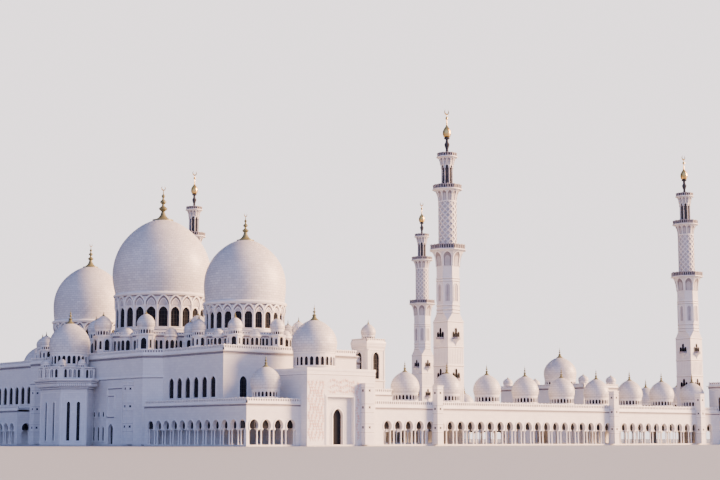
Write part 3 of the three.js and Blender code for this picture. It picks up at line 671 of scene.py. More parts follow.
MATERIALS = {
    "wall": marble("wall_marble", ((0.8, 0.775, 0.76), (0.73, 0.705, 0.7), (0.6, 0.575, 0.575)),
                   (1.5, 0.75), 0.02, 0.48, 0.3),
    "shell": marble("dome_marble", ((0.79, 0.765, 0.755), (0.63, 0.61, 0.61), (0.4, 0.38, 0.39)),
                    (1.5, 0.75), 0.055, 0.42, 0.5),
    "trim": plain("trim_marble", (0.87, 0.85, 0.83), (0.79, 0.76, 0.75), 4.0, (0.38, 0.55)),
    "paving": marble("floor_marble", ((0.7, 0.67, 0.63), (0.63, 0.6, 0.57), (0.5, 0.48, 0.46)),
                     (1.2, 1.2), 0.02, 0.4, 0.3, level=True),
    "inlay": plain("floral_inlay", (0.66, 0.43, 0.38), (0.73, 0.55, 0.48), 9.0, (0.45, 0.6)),
    "glass": plain("window_glass", (0.012, 0.013, 0.017), (0.022, 0.022, 0.027), 3.0, (0.5, 0.65),
                   relief=0.05, gloss=0.03),
    "bars": plain("window_bars", (0.04, 0.039, 0.042), (0.065, 0.062, 0.065), 6.0, (0.5, 0.7), gloss=0.05),
    # Painted shade: dark stone put in hollows under cornices and mouldings, behind parapet slots, in slots
    # and in niche and drum arch fields
    "shade": plain("painted_shade_stone", (0.2, 0.18, 0.19), (0.28, 0.25, 0.26), 5.0, (0.5, 0.7)),
    # Painted shade in mid grey: niche and drum arch backs, slots, the round shaft's core between its bands
    # and the lantern's columns
    "recess": plain("painted_niche_shade", (0.4, 0.38, 0.4), (0.52, 0.49, 0.5), 5.0, (0.5, 0.7)),
    # Darker stone for pierced rails and balcony parapets: painted shade, for the shade seen through their
    # piercings
    "fretwork": plain("fretwork_shade", (0.27, 0.24, 0.25), (0.4, 0.36, 0.37), 8.0, (0.5, 0.7)),
    # Near-black: the own colour of the pylons' stars and the lantern's stem, and painted shade for the
    # ceilings behind the arcades, the lantern's core and behind balcony parapet slots
    "dark": plain("dark_stone", (0.04, 0.04, 0.048), (0.07, 0.068, 0.076), 5.0, (0.5, 0.7), gloss=0.05),
    "bronze": plain("bronze", (0.26, 0.24, 0.11), (0.17, 0.155, 0.075), 7.0, (0.45, 0.6),
                    metallic=0.3, relief=0.1),
    "gold": plain("gilding", (0.83, 0.6, 0.22), (0.62, 0.4, 0.12), 7.0, (0.22, 0.4),
                  metallic=1.0, relief=0.1),
}


# Domes

def dome_profile(drum, wide, foot, belly, crown, steps=18, point=0.07):
    """A dome that swells from its drum and comes to a soft point."""
    profile, swell = [], 7
    for i in range(swell):
        t = i / swell
        profile.append((drum + (wide - drum) * math.sin(t * math.pi / 2), foot + (belly - foot) * t))
    for i in range(steps):
        angle = (i / steps) * math.pi / 2
        rise = math.sin(angle) + point * math.sin(angle) ** 8
        level = belly + (crown - belly) * rise / (1 + point)
        profile.append((wide * math.cos(angle) ** 0.96, level))
    profile.append((0.02 * wide, crown))
    return profile


def ring_mould(part, x, y, radius, level, out, tall, segments):
    """A round moulding with a line of painted shadow under it."""
    part.add("trim", lathe([
        (radius, level), (radius + 0.8 * out, level + 0.12 * tall), (radius + out, level + 0.5 * tall),
        (radius + 0.7 * out, level + 0.86 * tall), (radius, level + tall),
    ], segments, x, y))
    line = [(radius + 0.03, level - 0.3 * tall), (radius + 0.03, level + 0.05)]
    part.add("shade", lathe(line, segments, x, y))


def great_dome(name, dome, side):
    """A great dome with a moulding at its foot, a bronze hat and a crescent on its finial."""
    y, wide, foot, crown = dome["y"] * side, dome["wide"], dome["foot"], dome["crown"]
    part = Part(f"{name}_dome", f"{name}_dome", f"{name}_dome_finial")
    profile = dome_profile(dome["drum"] + 0.1, wide, foot, dome["belly"], crown)
    part.add("shell", lathe(profile, 96, 0, y))
    ring_mould(part, 0, y, dome["drum"], foot - 0.6, 1.0, 1.2, 96)
    part.add("bronze", lathe([
        (0.215 * wide, crown - 0.6), (0.215 * wide, crown - 0.1), (0.15 * wide, crown + 0.1),
        (0.094 * wide, crown + 0.65), (0.056 * wide, crown + 1.5), (0.035 * wide, crown + 2.6),
    ], 40, 0, y))
    finial(part, 0, y, crown + 0.8, dome["tip"], 16, True)
    part.build()


def drum(name, dome, storey_size, side, window):
    """A round drum: arched windows between slender columns, and bold pointed arches above, whose fields are
    painted shade.
    """
    y, radius, top = dome["y"] * side, dome["drum"], dome["foot"] - 0.25
    part = Part(f"{name}_dome_drum")
    bay = 2 * math.pi * radius / DRUM_BAYS
    foot, sill, head = storey_size["top"] - 0.5, window["sill"], window["head"]
    spring = head + 0.5
    outer = [(-bay / 2, foot), (0, foot), (bay / 2, foot), (bay / 2, top), (0, top), (-bay / 2, top)]

    def set_round(form):
        return around(bent(form, radius), DRUM_BAYS, 0, y)

    part.add("wall", set_round(panel(outer, [arch(window["width"], sill, head)], -0.9, 0)))
    opening(part, set_round, window["width"], sill, head, 0.3, hood=0.24)
    scallop = arch(bay - 0.5, spring, top - 0.5, rise=0.66, lean=0.9, steps=5)
    # The arches' fields are painted shade: dark, round a mid-grey inner arch.
    part.add("shade", set_round(filled(scallop, 0.04)))
    part.add("trim", set_round(band(scallop, 0.4, 0.0, 0.6)))
    inner = arch(0.56 * bay, spring, top - 1.5, rise=0.66, lean=0.9, steps=4)
    part.add("recess", set_round(panel(inner, [], 0.0, 0.25)))
    part.add("trim", set_round(band(inner, 0.2, 0.0, 0.35)))
    pendant = [(0, spring - 1.2), (0.16, spring - 1.0), (0.36, spring - 0.3), (0.42, spring + 0.1)]
    part.add("trim", set_round(lathe(pendant, 8, bay / 2, -0.2)))
    part.add("trim", set_round(column(bay / 2, -0.14, sill - 0.3, spring - 0.9, 0.15)))
    ring_mould(part, 0, y, radius, sill - 1.1, 0.6, 0.7, 96)
    ring_mould(part, 0, y, radius, foot + 2.0, 0.35, 0.4, 96)
    part.build()


def small_drum(part, x, y, radius, foot, sill, head, top, count):
    """A low drum with a close row of narrow arched windows between white posts."""
    bay = 2 * math.pi * radius / count
    window = arch(0.66 * bay, sill, head, steps=3)

    def set_round(form):
        return around(bent(form, radius), count, x, y)

    part.add("wall", set_round(panel(rectangle(-bay / 2, bay / 2, foot, top), [window], -0.3, 0)))
    part.add("glass", lathe([(radius - 0.16, foot), (radius - 0.16, top)], 2 * count, x, y))
    part.add("trim", set_round(band(window, 0.07, 0, 0.1)))
    part.add("trim", lathe([
        (radius, sill - 0.4), (radius + 0.2, sill - 0.34), (radius + 0.2, sill - 0.14), (radius, sill - 0.06),
    ], 40, x, y))


def crown_dome(part, x, y, radius, wide, foot, belly, crown, tip, segments):
    """A small dome with a moulding at its foot, a bronze hat and a finial."""
    part.add("shell", lathe(dome_profile(radius, wide, foot, belly, crown, 11, 0.1), segments, x, y))
    part.add("trim", lathe([
        (radius, foot - 0.16), (radius + 0.14, foot - 0.1), (radius + 0.14, foot + 0.1),
        (radius, foot + 0.16),
    ], segments, x, y))
    hat, rim = 0.23 * wide, crown - 0.04 * (crown - belly)
    part.add("bronze", lathe([
        (hat, rim - 0.2), (hat, rim + 0.08), (0.5 * hat, crown + 0.24 * hat), (0.25 * hat, crown + 0.8 * hat),
    ], 20, x, y))
    finial(part, x, y, crown, tip)


def low_dome(part, x, y, floor, dome):
    """A dome on a drum of narrow windows, that stands on a roof."""
    radius = dome["drum"]
    sill, head, foot, belly, crown, tip = (
        floor + dome[level] for level in ("sill", "head", "foot", "belly", "crown", "tip"))
    small_drum(part, x, y, radius, floor, sill, head, foot, dome["bays"])
    crown_dome(part, x, y, radius + 0.05, dome["wide"], foot, belly, crown, tip, 48)


def turret(part, x, y, radius, foot, size, turn):
    """A domed turret: arched windows on its broad faces, slits on the narrow ones."""
    top, crown = size["top"], size["crown"]
    half, cut = 0.94 * radius, 0.52 * radius
    outline = [
        (-cut, -half), (cut, -half), (half, -cut), (half, cut),
        (cut, half), (-cut, half), (-half, cut), (-half, -cut),
    ]
    rim = top - 0.42 * (crown - top)
    pieces = Part("turret")
    for i, corner, length, spin in edges(outline):
        broad = i % 2 == 0
        width = 0.62 * length if broad else 0.5 * length
        low, high = (size["sill"], size["head"]) if broad else (size["sill"] + 0.3, size["head"] - 0.5)

        def place(form):
            return moved(moved(form, length / 2), *corner, 0, spin)

        face = rectangle(-length / 2, length / 2, foot, rim)
        pieces.add("wall", place(panel(face, [arch(width, low, high)], -0.4, 0, 0.16)))
        opening(pieces, place, width, low, high, 0.3, sill=broad, hood=0.16)
        pieces.add("trim", place(column(length / 2, -0.02, foot, rim - 0.2, 0.11, 6)))
    pieces.add("trim", loft(outline, [
        (0, rim - 0.6), (0.14, rim - 0.5), (0.3, rim - 0.2), (0.34, rim), (-0.3, rim),
    ]))
    ring = 0.86 * radius
    small_drum(pieces, 0, 0, ring, rim - 0.1, rim + 0.25, top - 0.35, top, 16)
    pieces.add("trim", lathe([(0, rim), (ring, rim)], 16))
    belly = top + 0.3 * (crown - top)
    crown_dome(pieces, 0, 0, ring + 0.05, 1.02 * radius, top, belly, crown, size["tip"], 32)
    part.take(pieces, lambda form: moved(form, x, y, 0, turn))


def storey(name, dome, size, side, turret_size):
    """The eight-sided storey under a great dome, with a half dome on each face and a turret
    at each corner."""
    y = dome["y"] * side
    part = Part(f"{name}_dome_storey")
    apothem = size["wall"] * math.cos(math.pi / 8)
    half = size["wall"] * math.sin(math.pi / 8)
    foot, top, sill, head = size["foot"], size["top"], size["sill"], size["head"]
    places = [edge * at for edge in (-1, 1) for at in size["slits_at"]]

    def set_faces(form):
        return moved(around(moved(form, 0, -apothem), 8, 0, 0, 22.5), 0, y)

    holes = [shifted(arch(size["slit"], sill, head, steps=3), u) for u in places]
    part.add("wall", set_faces(panel(rectangle(-half, half, foot, top), holes, -1.2, 0, 0.5)))
    for u in places:
        opening(part, lambda form: set_faces(moved(form, u)), size["slit"], sill, head, 0.35,
                hood=0.15, steps=3)
    outline = polygon(8, size["wall"], 0, y, 0)
    cornice(part, outline, top + 0.02, 0.8)
    parapet(part, offset(outline, 0.1), top, 1.0)
    fillets(part, outline, [foot + 1.4], 0.2, 0.5)
    part.add("wall", rings([
        [(px, py, top) for px, py in outline],
        [(px, py, size["shoulder"]) for px, py in polygon(8, dome["drum"] + 0.3, 0, y, 0)],
    ]))
    apse = size["apse"]
    body = Part("apse")
    body.add("wall", lathe([(apse, foot), (apse, top - 0.5)], 16))
    ring_mould(body, 0, 0, apse, top - 0.6, 0.3, 0.7, 16)
    body.add("shell", lathe(dome_profile(apse, apse, top, top + 0.1, top + 1.15 * apse, 7, 0.0), 24))
    for angle in (-45, 0, 45):
        opening(body, lambda form: moved(moved(form, 0, -apse + 0.03), 0, 0, 0, angle), 0.6 * apse,
                sill, head, -0.06, sill=False, hood=0.14, steps=3)
    part.take(body, set_faces)
    for i, (x, across) in enumerate(polygon(8, size["ring"], 0, y, 0)):
        turret(part, x, across, size["turret"], foot, turret_size, 45 * i + 90)
    part.build()


# Walls

def wall_run(part, x, y, turn, length, top, openings=(), foot=FLOOR, thick=WALL, mitre=None):
    """A straight wall from 0 to length, looking out, with arched openings. Those without a sill
    reach its foot."""
    outer = [(0.0, foot)]
    holes = []
    for item in sorted(openings, key=lambda o: o["at"]):
        outline = arch(item["width"], item.get("sill", foot), item["top"], **item.get("shape", {}))
        if "sill" in item:
            holes.append(shifted(outline, item["at"]))
        else:
            outer.extend(shifted(outline, item["at"]))
    outer += [(length, foot), (length, top), (0.0, top)]
    mitre = thick if mitre is None else mitre
    part.add("wall", moved(panel(outer, holes, -thick, 0, mitre), x, y, 0, turn))
    for item in openings:
        def place(form, at=item["at"]):
            return moved(moved(form, at), x, y, 0, turn)

        shape = item.get("shape", {})
        if item.get("glass"):
            opening(part, place, item["width"], item.get("sill", foot), item["top"], item["glass"],
                    hood=item.get("hood", 0.2), sill="sill" in item, **shape)
        elif item.get("hood"):
            outline = arch(item["width"], foot, item["top"], **shape)
            part.add("trim", place(band(outline, item["hood"], -0.05, 0.16)))


def four_walls(part, corners, top, openings):
    """The walls of a block, from its south side anticlockwise, with each side's openings."""
    for i, corner in enumerate(corners):
        length = math.dist(corner, corners[(i + 1) % 4])
        wall_run(part, *corner, 90 * i, length, top, openings[i])


def spaced(start, end, pitch, **item):
    """Like openings at an even pitch, as many as fit between a start and an end."""
    count = int((end - start) / pitch)
    first = (start + end) / 2 - (count - 1) * pitch / 2
    return [{**item, "at": first + i * pitch} for i in range(count)]


# The arcades' arches, which swell over the capitals of their columns, and the great arches' shape
OUTER_ARCH = {
    "pitch": 4.1, "width": 2.3, "top": 7.2, "hood": 0.26, "shape": {"rise": 1.17, "lean": 0.15, "steps": 8},
}
COURT_ARCH = {
    "pitch": 6.3, "width": 3.7, "top": 8.4, "hood": 0.3, "shape": {"rise": 0.95, "lean": 0.2, "steps": 8},
}
GREAT_SHAPE = {"rise": 0.78, "lean": 0.34, "steps": 7}


def arcade(part, x, y, turn, length, first, last, size=OUTER_ARCH):
    """A wall on arches, that stands on pairs of columns and on a solid pier at each end. A dark
    beam behind it is the shaded ceiling."""
    arches = spaced(first, last, **size)
    half = size["width"] / 2
    spring = size["top"] - size["shape"]["rise"] * size["width"]
    wall_run(part, x, y, turn, length, WING_EAVES, arches, spring)
    for start, end in ((0, arches[0]["at"] - half - 0.5), (arches[-1]["at"] + half + 0.5, length)):
        if end - start > 0.2:
            part.add("wall", moved(box(start + 0.02, end - 0.02, 0, WALL, FLOOR, spring), x, y, 0, turn))
    columns = []
    for one in arches:
        for edge in (-1, 1):
            at = one["at"] + edge * (half + 0.22)
            columns.append(column(at, 0.5, FLOOR, spring, 0.2))
            columns.append(box(at - 0.3, at + 0.3, -0.12, WALL + 0.1, spring - 0.02, spring + 0.2))
    part.add("trim", moved(join(columns), x, y, 0, turn))
    beam = box(0.1, length - 0.1, 2.6, 2.8, spring + 0.3, WING_EAVES - 0.5)
    part.add("dark", moved(beam, x, y, 0, turn))


def pylon(part, x0, x1, y0, y1, top):
    """A square pylon with small dark stars, string courses and a plain head."""
    part.add("wall", box(x0, x1, y0, y1, FLOOR, top))
    outline = rectangle(x0, x1, y0, y1)
    head = [(0, top - 0.02), (0.16, top + 0.02), (0.16, top + 0.22), (-0.5, top + 0.26)]
    part.add("trim", loft(outline, head), cap(offset(outline, -0.5), top + 0.26))
    levels = (top - 1.9, top * 0.62, top * 0.3)
    middle_x, middle_y = (x0 + x1) / 2, (y0 + y1) / 2
    for level in levels:
        mark = panel(star(8, 0, level, 0.486, 0.27), [], -0.05, 0.035)
        for cx, cy, turn in ((middle_x, y0, 0), (x0, middle_y, -90), (x1, middle_y, 90), (middle_x, y1, 180)):
            part.add("dark", moved(mark, cx, cy, 0, turn))
    steps = [level + step for level in levels[1:] for step in (-1.3, 1.0)]
    fillets(part, outline, [*steps, top - 0.9], 0.08, 0.25)


def low_roof(part, outline, skip, rise=0.0):
    """The cornice and parapet of the wings and terraces."""
    cornice(part, outline, WING_EAVES + rise, 0.75, skip)
    parapet(part, outline, WING_EAVES + rise, WING_TOP - WING_EAVES - rise, skip)


def high_roof(part, outline, skip=()):
    """The cornice and parapet of the hall and of what is as high."""
    cornice(part, outline, HALL_EAVES)
    parapet(part, offset(outline, 0.15), HALL_EAVES, HALL_TOP - HALL_EAVES, skip)


def block_roof(part, outline, level):
    """The cornice, parapet and roof of a gate or of the entrance."""
    cornice(part, outline, level)
    parapet(part, outline, level, 1.4)
    part.add("paving", cap(outline, level))


# Prayer hall

def hall():
    """The prayer hall: doors on every side, and high windows on all but the courtyard's."""
    part = Part(
        "prayer_hall", "hall_wall_west", "hall_wall_east", "hall_wall_south", "hall_wall_north", "hall_roof")
    west, east, half = HALL["west"], HALL["east"], HALL["half"]
    door = {"shape": {"rise": 0.8}}
    window = {"width": 2.5, "sill": 13.6, "top": 19.5, "glass": 0.2, "hood": 0.26, "shape": {"steps": 5}}
    to_south = [{**door, "at": -west, "width": 6.0, "top": 11.0}]
    to_south += [{**window, "at": x - west} for x in (-16.9, 16.9)]
    court_door = {**door, "width": 6.0, "top": 12.0, "hood": 0.4}
    to_court = [{**court_door, "at": half + y} for y in (-34, -17, 0, 17, 34)]
    to_north = [{**item, "at": east - west - item["at"]} for item in to_south]
    to_west = [{**door, "at": half + y, "width": 3.4, "top": 6.6} for y in (-WEST_DOOR_Y, WEST_DOOR_Y)]
    to_west += [{**window, "at": half + side * (43.6 + i * 4.25)} for i in range(6) for side in (-1, 1)]
    outline = rectangle(west, east, -half, half)
    four_walls(part, outline, HALL_WALLS, (to_south, to_court, to_north, to_west))
    high_roof(part, outline)
    fillets(part, outline, [12.3], 0.2, 0.5)
    part.add("paving", box(west, east, -half, half, HALL_EAVES - 0.5, HALL_EAVES + 0.06))
    part.build()


def west_block():
    """The low block along the hall's west wall: two doors, small windows, frames and two pylons."""
    part = Part("west_block")
    west, half, chamfer, east = WEST_BLOCK["west"], WEST_BLOCK["half"], WEST_BLOCK["chamfer"], HALL["west"]
    outline = [(east, -half - chamfer), (east, half + chamfer), (west, half), (west, -half)]
    door = {"width": 2.7, "top": 6.5, "glass": 0.9, "hood": 0.3}
    window = {"width": 1.0, "glass": 0.1, "hood": 0.12, "shape": {"steps": 4}}
    openings = []
    for side in (-1, 1):
        openings.append({**door, "at": half + side * WEST_DOOR_Y})
        for y in (7.3, 10.1, 12.8):
            for sill, top in ((8.7, 10.3), (1.5, 5.7)):
                openings.append({**window, "at": half + side * y, "sill": sill, "top": top})
    wall_run(part, west, half, -90, 2 * half, HALL_WALLS, openings, mitre=0.45)
    slant = math.hypot(chamfer, west - east)
    turn = math.degrees(math.atan2(-chamfer, east - west))
    wall_run(part, west, -half, turn, slant, HALL_WALLS, mitre=0.45)
    wall_run(part, east, half + chamfer, 180 - turn, slant, HALL_WALLS, mitre=0.45)
    high_roof(part, outline, (0,))
    part.add("paving", cap(outline, HALL_EAVES + 0.04))
    fillets(part, outline, [19.8], 0.32, 0.6)
    for side in (-1, 1):
        y = side * WEST_BLOCK["pylon_y"]
        pylon(part, west - PYLON, west, y - PYLON / 2, y + PYLON / 2, 18.6)
        for near, far, foot, top in WEST_FRAMES:
            low, high = sorted((side * near, side * far))
            bars = (low, low + 0.3, foot, top), (high - 0.3, high, foot, top), (low, high, top, top + 0.35)
            for bar in bars:
                part.add("trim", box(west - 0.3, west + 0.05, *bar))
            # A strip of painted shadow under each frame's top bar.
            part.add("shade", box(west - 0.12, west + 0.04, low, high, top - 0.3, top))
    part.build()


def tower_plan():
    """The niche tower's outline, with its two western corners cut off."""
    west, face, side, back = TOWER["west"], TOWER["face"], TOWER["side"], WEST_BLOCK["west"]
    bend = west + side - face
    near = side - (back - bend)
    return [(west, face), (west, -face), (bend, -side), (back, -near), (back, near), (bend, side)]


def niche_tower():
    """The tower over the prayer niche: framed slits, and a cornice that flares out in steps."""
    part = Part("niche_tower")
    plan, floor = tower_plan(), TOWER["floor"]
    slit = {"width": 1.0, "sill": 1.5, "top": 13.2, "glass": 0.15, "hood": 0.18, "shape": {"steps": 4}}
    for i, corner, length, turn in edges(plan, (3,)):
        slits = [{**slit, "at": length * share} for share in (0.31, 0.69)] if i in (0, 1, 5) else []
        wall_run(part, *corner, turn, length, 17.0, slits, mitre=0.45)
        frames = [box(edge - 0.12, edge + 0.12, -0.12, 0.02, FLOOR, 16.0) for edge in (0.35, length - 0.35)]
        frames.append(box(0.35, length - 0.35, -0.12, 0.02, 15.8, 16.05))
        part.add("trim", moved(join(frames), *corner, 0, turn))
    for k in range(6):
        low, out = 16.5 + k * 0.56, 0.1 + 0.4 * k
        part.add("trim", loft(plan, [
            (out - 0.3, low - 0.02), (out, low + 0.14), (out + 0.06, low + 0.34), (out - 0.1, low + 0.36),
        ]))
        # A band of painted shade under each step of the cornice.
        part.add("shade", loft(plan, [(out - 0.12, low + 0.34), (out + 0.05, low + 0.58)]))

    def teeth(length):
        places = np.arange(0.31, length, 0.62)
        return join([box(at - 0.17, at + 0.17, -0.1, 0.4, 17.9, 18.6) for at in places])

    part.add("trim", along_edges(offset(plan, 1.5), teeth, (3,)))
    kerb = [(2.1, floor - 0.3), (2.25, floor - 0.2), (2.25, floor + 0.2), (1.8, floor + 0.25)]
    part.add("trim", loft(plan, kerb))
    part.add("paving", cap(offset(plan, 1.9), floor))
    part.build()


def niche_gallery():
    """The eight-sided gallery on the tower, a dome on it, and small domed turrets along its faces."""
    part = Part("niche_gallery", "niche_gallery", "niche_dome")
    x, floor, top, apothem = TOWER["x"], TOWER["floor"], TOWER["top"], TOWER["gallery"]
    radius = apothem / math.cos(math.pi / 8)
    half = apothem * math.tan(math.pi / 8)
    sill, head = floor + 0.7, floor + 3.3
    windows = [(share - 0.5) * 2 * half for share in (0.1, 0.3, 0.5, 0.7, 0.9)]
    holes = [shifted(arch(0.85, sill, head, steps=4), u) for u in windows]
    body = Part("side")
    body.add("wall", panel(rectangle(-half, half, floor, top), holes, -0.5, 0, 0.2))
    for u in windows:
        opening(body, lambda form: moved(form, u), 0.85, sill, head, 0.15, hood=0.12, steps=4)
    body.add("trim", [column(u, -0.1, floor + 0.3, top - 0.4, 0.11, 6) for u in (-0.8 * half, 0.8 * half)])
    for i in range(1, 8):
        part.take(body, lambda form: moved(moved(form, 0, -apothem), x, 0, 0, 90 + 45 * i))
    outline = polygon(8, radius, x)
    part.add("trim", loft(outline, [(0, top - 0.3), (0.2, top - 0.2), (0.2, top + 0.05), (-0.4, top + 0.1)]))
    # A line of painted shadow under the cornice.
    part.add("shade", loft(outline, [(0.03, top - 0.5), (0.03, top - 0.25)]))
    part.add("paving", cap(outline, top + 0.1))
    for cx, cy in polygon(8, TOWER["turrets"], x, 0, 0):
        if cx < WEST_BLOCK["west"] - 0.6:
            small = TOWER["turret"]
            part.add("wall", lathe([(small, floor), (small, top - 0.2)], 16, cx, cy))
            small_drum(part, cx, cy, small, top - 0.2, top + 0.05, top + 0.6, top + 0.8, 12)
            crown_dome(part, cx, cy, small, 1.2, top + 0.8, top + 1.2, top + 2.4, top + 3.2, 20)
    low_dome(part, x, 0, top, MEDIUM_DOME)
    part.build()


# Terraces, portals and the courtyard front

def terrace(name, side):
    """A terrace beside the hall's west end: arcades on three sides, and a small dome on its roof."""
    part = Part(f"{name}west_terrace")
    west, half, inner, east = TERRACE["west"], TERRACE["half"], TERRACE["inner"], -PORTAL["half"]
    arcade(part, west, -inner, -90, half - inner, 1.5, half - inner + 0.4)
    arcade(part, west, -half, 0, east - west, 0.3, east - west - 1.1)
    arcade(part, HALL["west"], -inner, 180, HALL["west"] - west, 0.6, HALL["west"] - west - 0.6)
    outline = [(west, -half), (east, -half), (east, -HALL["half"]), (HALL["west"], -HALL["half"]),
               (HALL["west"], -inner), (west, -inner)]
    part.add("paving", cap(outline, WING_ROOF), cap(outline, WING_EAVES - 0.4, False))
    low_roof(part, rectangle(west, east, -half, -inner), (1, 2), 0.5)
    low_dome(part, TERRACE["dome_x"], TERRACE["dome_y"], WING_ROOF, SMALL_DOME)
    part.build(side)


def vine(points, width=0.08, depth=0.06):
    """A stem with pairs of leaves and a rosette at every third pair, on a wall that looks south."""
    items = [band(points, width, -0.02, depth)]
    for i in range(1, len(points) - 1):
        here = Vector(points[i])
        run = (Vector(points[i + 1]) - Vector(points[i - 1])).normalized()
        for side in (-1, 1):
            out = (run * 0.75 + Vector((-run.y, run.x)) * side).normalized()
            across = Vector((-out.y, out.x)) * 0.13
            leaf = [here, here + out * 0.3 + across, here + out * 0.62, here + out * 0.3 - across]
            items.append(panel([tuple(p) for p in leaf], [], -0.02, depth))
        if i % 3 == 0:
            items.append(panel(star(12, here.x, here.y, 0.34, 0.17, 0.5), [], -0.02, depth + 0.03))
    return join(items)


def portal(name, side):
    """A portal at an end of the hall: a tall recess with a pointed door, vines in relief round it,
    a pylon beside it and a dome on its roof."""
    part = Part(f"{name}_portal", f"{name}_portal", f"{name}_portal_dome")
    half, front, top, back = PORTAL["half"], PORTAL["front"], PORTAL["top"], HALL["half"]
    west_edge, east_edge, lintel, deep = -5.2, 4.2, 13.4, 1.2
    eaves = top - 0.7
    middle = (west_edge + east_edge) / 2
    door = arch(3.6, FLOOR, 10.3, rise=0.8, lean=0.34, steps=8)
    recess = [(west_edge, FLOOR), (west_edge, lintel), (east_edge, lintel), (east_edge, FLOOR)]
    outer = [(-half, FLOOR), *recess, (half, FLOOR), (half, eaves), (-half, eaves)]
    inner = [recess[0], *shifted(door, middle), *reversed(recess[1:])]

    def place(form):
        return moved(form, 0, -front)

    part.add("wall", place(panel(outer, [], -deep, 0, deep)), place(panel(inner, [], -deep - 1.0, -deep)))
    part.add("glass", place(moved(panel(door, [], -deep - 1.0, -deep - 0.9), middle)))
    part.add("trim", place(moved(band(door, 0.42, -deep, -deep + 0.2), middle)))
    part.add("trim", place(moved(band(widened(door, 0.75), 0.14, -deep, -deep + 0.1), middle)))
    part.add("trim", place(band(recess, 0.42, -0.02, 0.16)))
    part.add("trim", place(band(widened(recess, 0.75), 0.16, -0.02, 0.1)))
    wall_run(part, -half, -back, -90, front - back, eaves, thick=deep)
    wall_run(part, half, -front, 90, front - back, eaves, thick=deep)
    outline = rectangle(-half, half, -front, -back)
    part.add("trim", loft(outline, [
        (0, eaves - 0.2), (0.08, eaves - 0.1), (0.14, eaves + 0.2), (0.14, top), (-0.6, top),
        (-0.6, top - 0.9),
    ]))
    part.add("paving", cap(offset(outline, -0.5), top - 0.9))
    fillets(part, outline, [19.4], 0.08, 0.3)
    for x in (-11.2, -10.1, -9.0, -7.9, -6.8, 5.6):
        line = [(x + 0.4 * math.sin(k * 1.05 + x), 1.4 + 0.75 * k) for k in range(23)]
        part.add("inlay", place(vine(line)))
    for level in (14.9, 16.3, 17.7):
        line = [(-4.9 + 0.75 * k, level + 0.35 * math.sin(k * 1.1 + level)) for k in range(14)]
        part.add("inlay", place(vine(line)))
    pylon(part, 6.7, 9.8, -front - 2.1, -front, 17.2)
    low_dome(part, 0, PORTAL["dome_y"], top - 1.4, PORTAL_DOME)
    part.build(side)


def courtyard_front():
    """The portico before the hall, open to the courtyard in tall pointed arches."""
    part = Part("courtyard_front")
    east, half, west = FACADE["east"], FACADE["half"], HALL["east"]
    depth = east - west
    front = spaced(2.0, 2 * half - 2.0, 7.8, width=5.0, top=13.0, hood=0.4, shape=GREAT_SHAPE)
    for item in front:
        if abs(item["at"] - half) < 1:
            item.update(width=6.4, top=18.0)
    ends = spaced(0.0, FACADE["tower"] - FACADE["side"] / 2 - west, 7.0, width=4.6, top=14.0, hood=0.4,
                  shape=GREAT_SHAPE)
    wall_run(part, east, -half, 90, 2 * half, HALL_WALLS, front)
    wall_run(part, west, -half, 0, depth, HALL_WALLS, ends)
    wall_run(part, east, half, 180, depth, HALL_WALLS, [{**e, "at": depth - e["at"]} for e in ends])

    def place(form):
        return moved(form, east, -half, 0, 90)

    for item in front:
        spring = item["top"] - GREAT_SHAPE["rise"] * item["width"]
        for edge in (-1, 1):
            at = item["at"] + edge * (item["width"] / 2 + 0.3)
            part.add("trim", place(column(at, -0.25, FLOOR, spring, 0.3, 10)))
        if item["top"] < 15:
            opening(part, lambda form: place(moved(form, item["at"])), 1.6, 17.2, 21.6, -0.06, hood=0.25)
    high_roof(part, rectangle(west, east, -half, half), (3,))
    deck = box(west + 0.2, east - 0.2, -half + 0.2, half - 0.2, HALL_EAVES - 0.5, HALL_EAVES + 0.06)
    part.add("paving", deck)
    part.build()


def courtyard_tower(name, side):
    """A square tower at an end of the courtyard front, with framed windows and a small dome."""
    part = Part(f"courtyard_tower_{name}")
    x, y, r, top = FACADE["tower"], -FACADE["half"], FACADE["side"] / 2, FACADE["top"]
    corners = rectangle(x - r, x + r, y - r, y + r)
    window = {"at": r, "width": 2.7, "sill": 21.0, "top": 29.6, "glass": 0.3, "hood": 0.3}
    four_walls(part, corners, top, [[window]] * 4)
    frames = [box(edge - 0.14, edge + 0.14, -0.14, 0.02, 14.0, top - 2.6) for edge in (0.45, 2 * r - 0.45)]
    frames.append(box(0.3, 2 * r - 0.3, -0.14, 0.02, top - 2.9, top - 2.6))
    part.add("trim", along_edges(corners, lambda length: join(frames)))
    part.add("trim", loft(corners, [
        (0, top - 2.2), (0.12, top - 2.0), (0.14, top - 1.2), (0.28, top - 0.9), (0.28, top - 0.2),
        (0.2, top), (-1.2, top + 0.05),
    ]))
    fillets(part, corners, [20.2, top - 1.7], 0.2, 0.4)
    part.add("paving", cap(corners, top))
    parapet(part, offset(corners, 0.1), top, 1.0)
    small_drum(part, x, y, 2.1, top, top + 0.6, top + 1.6, top + 1.9, 16)
    crown_dome(part, x, y, 2.15, 2.45, top + 1.9, top + 3.0, top + 5.8, FACADE["tip"], 32)
    part.build(side)


# Courtyard wings

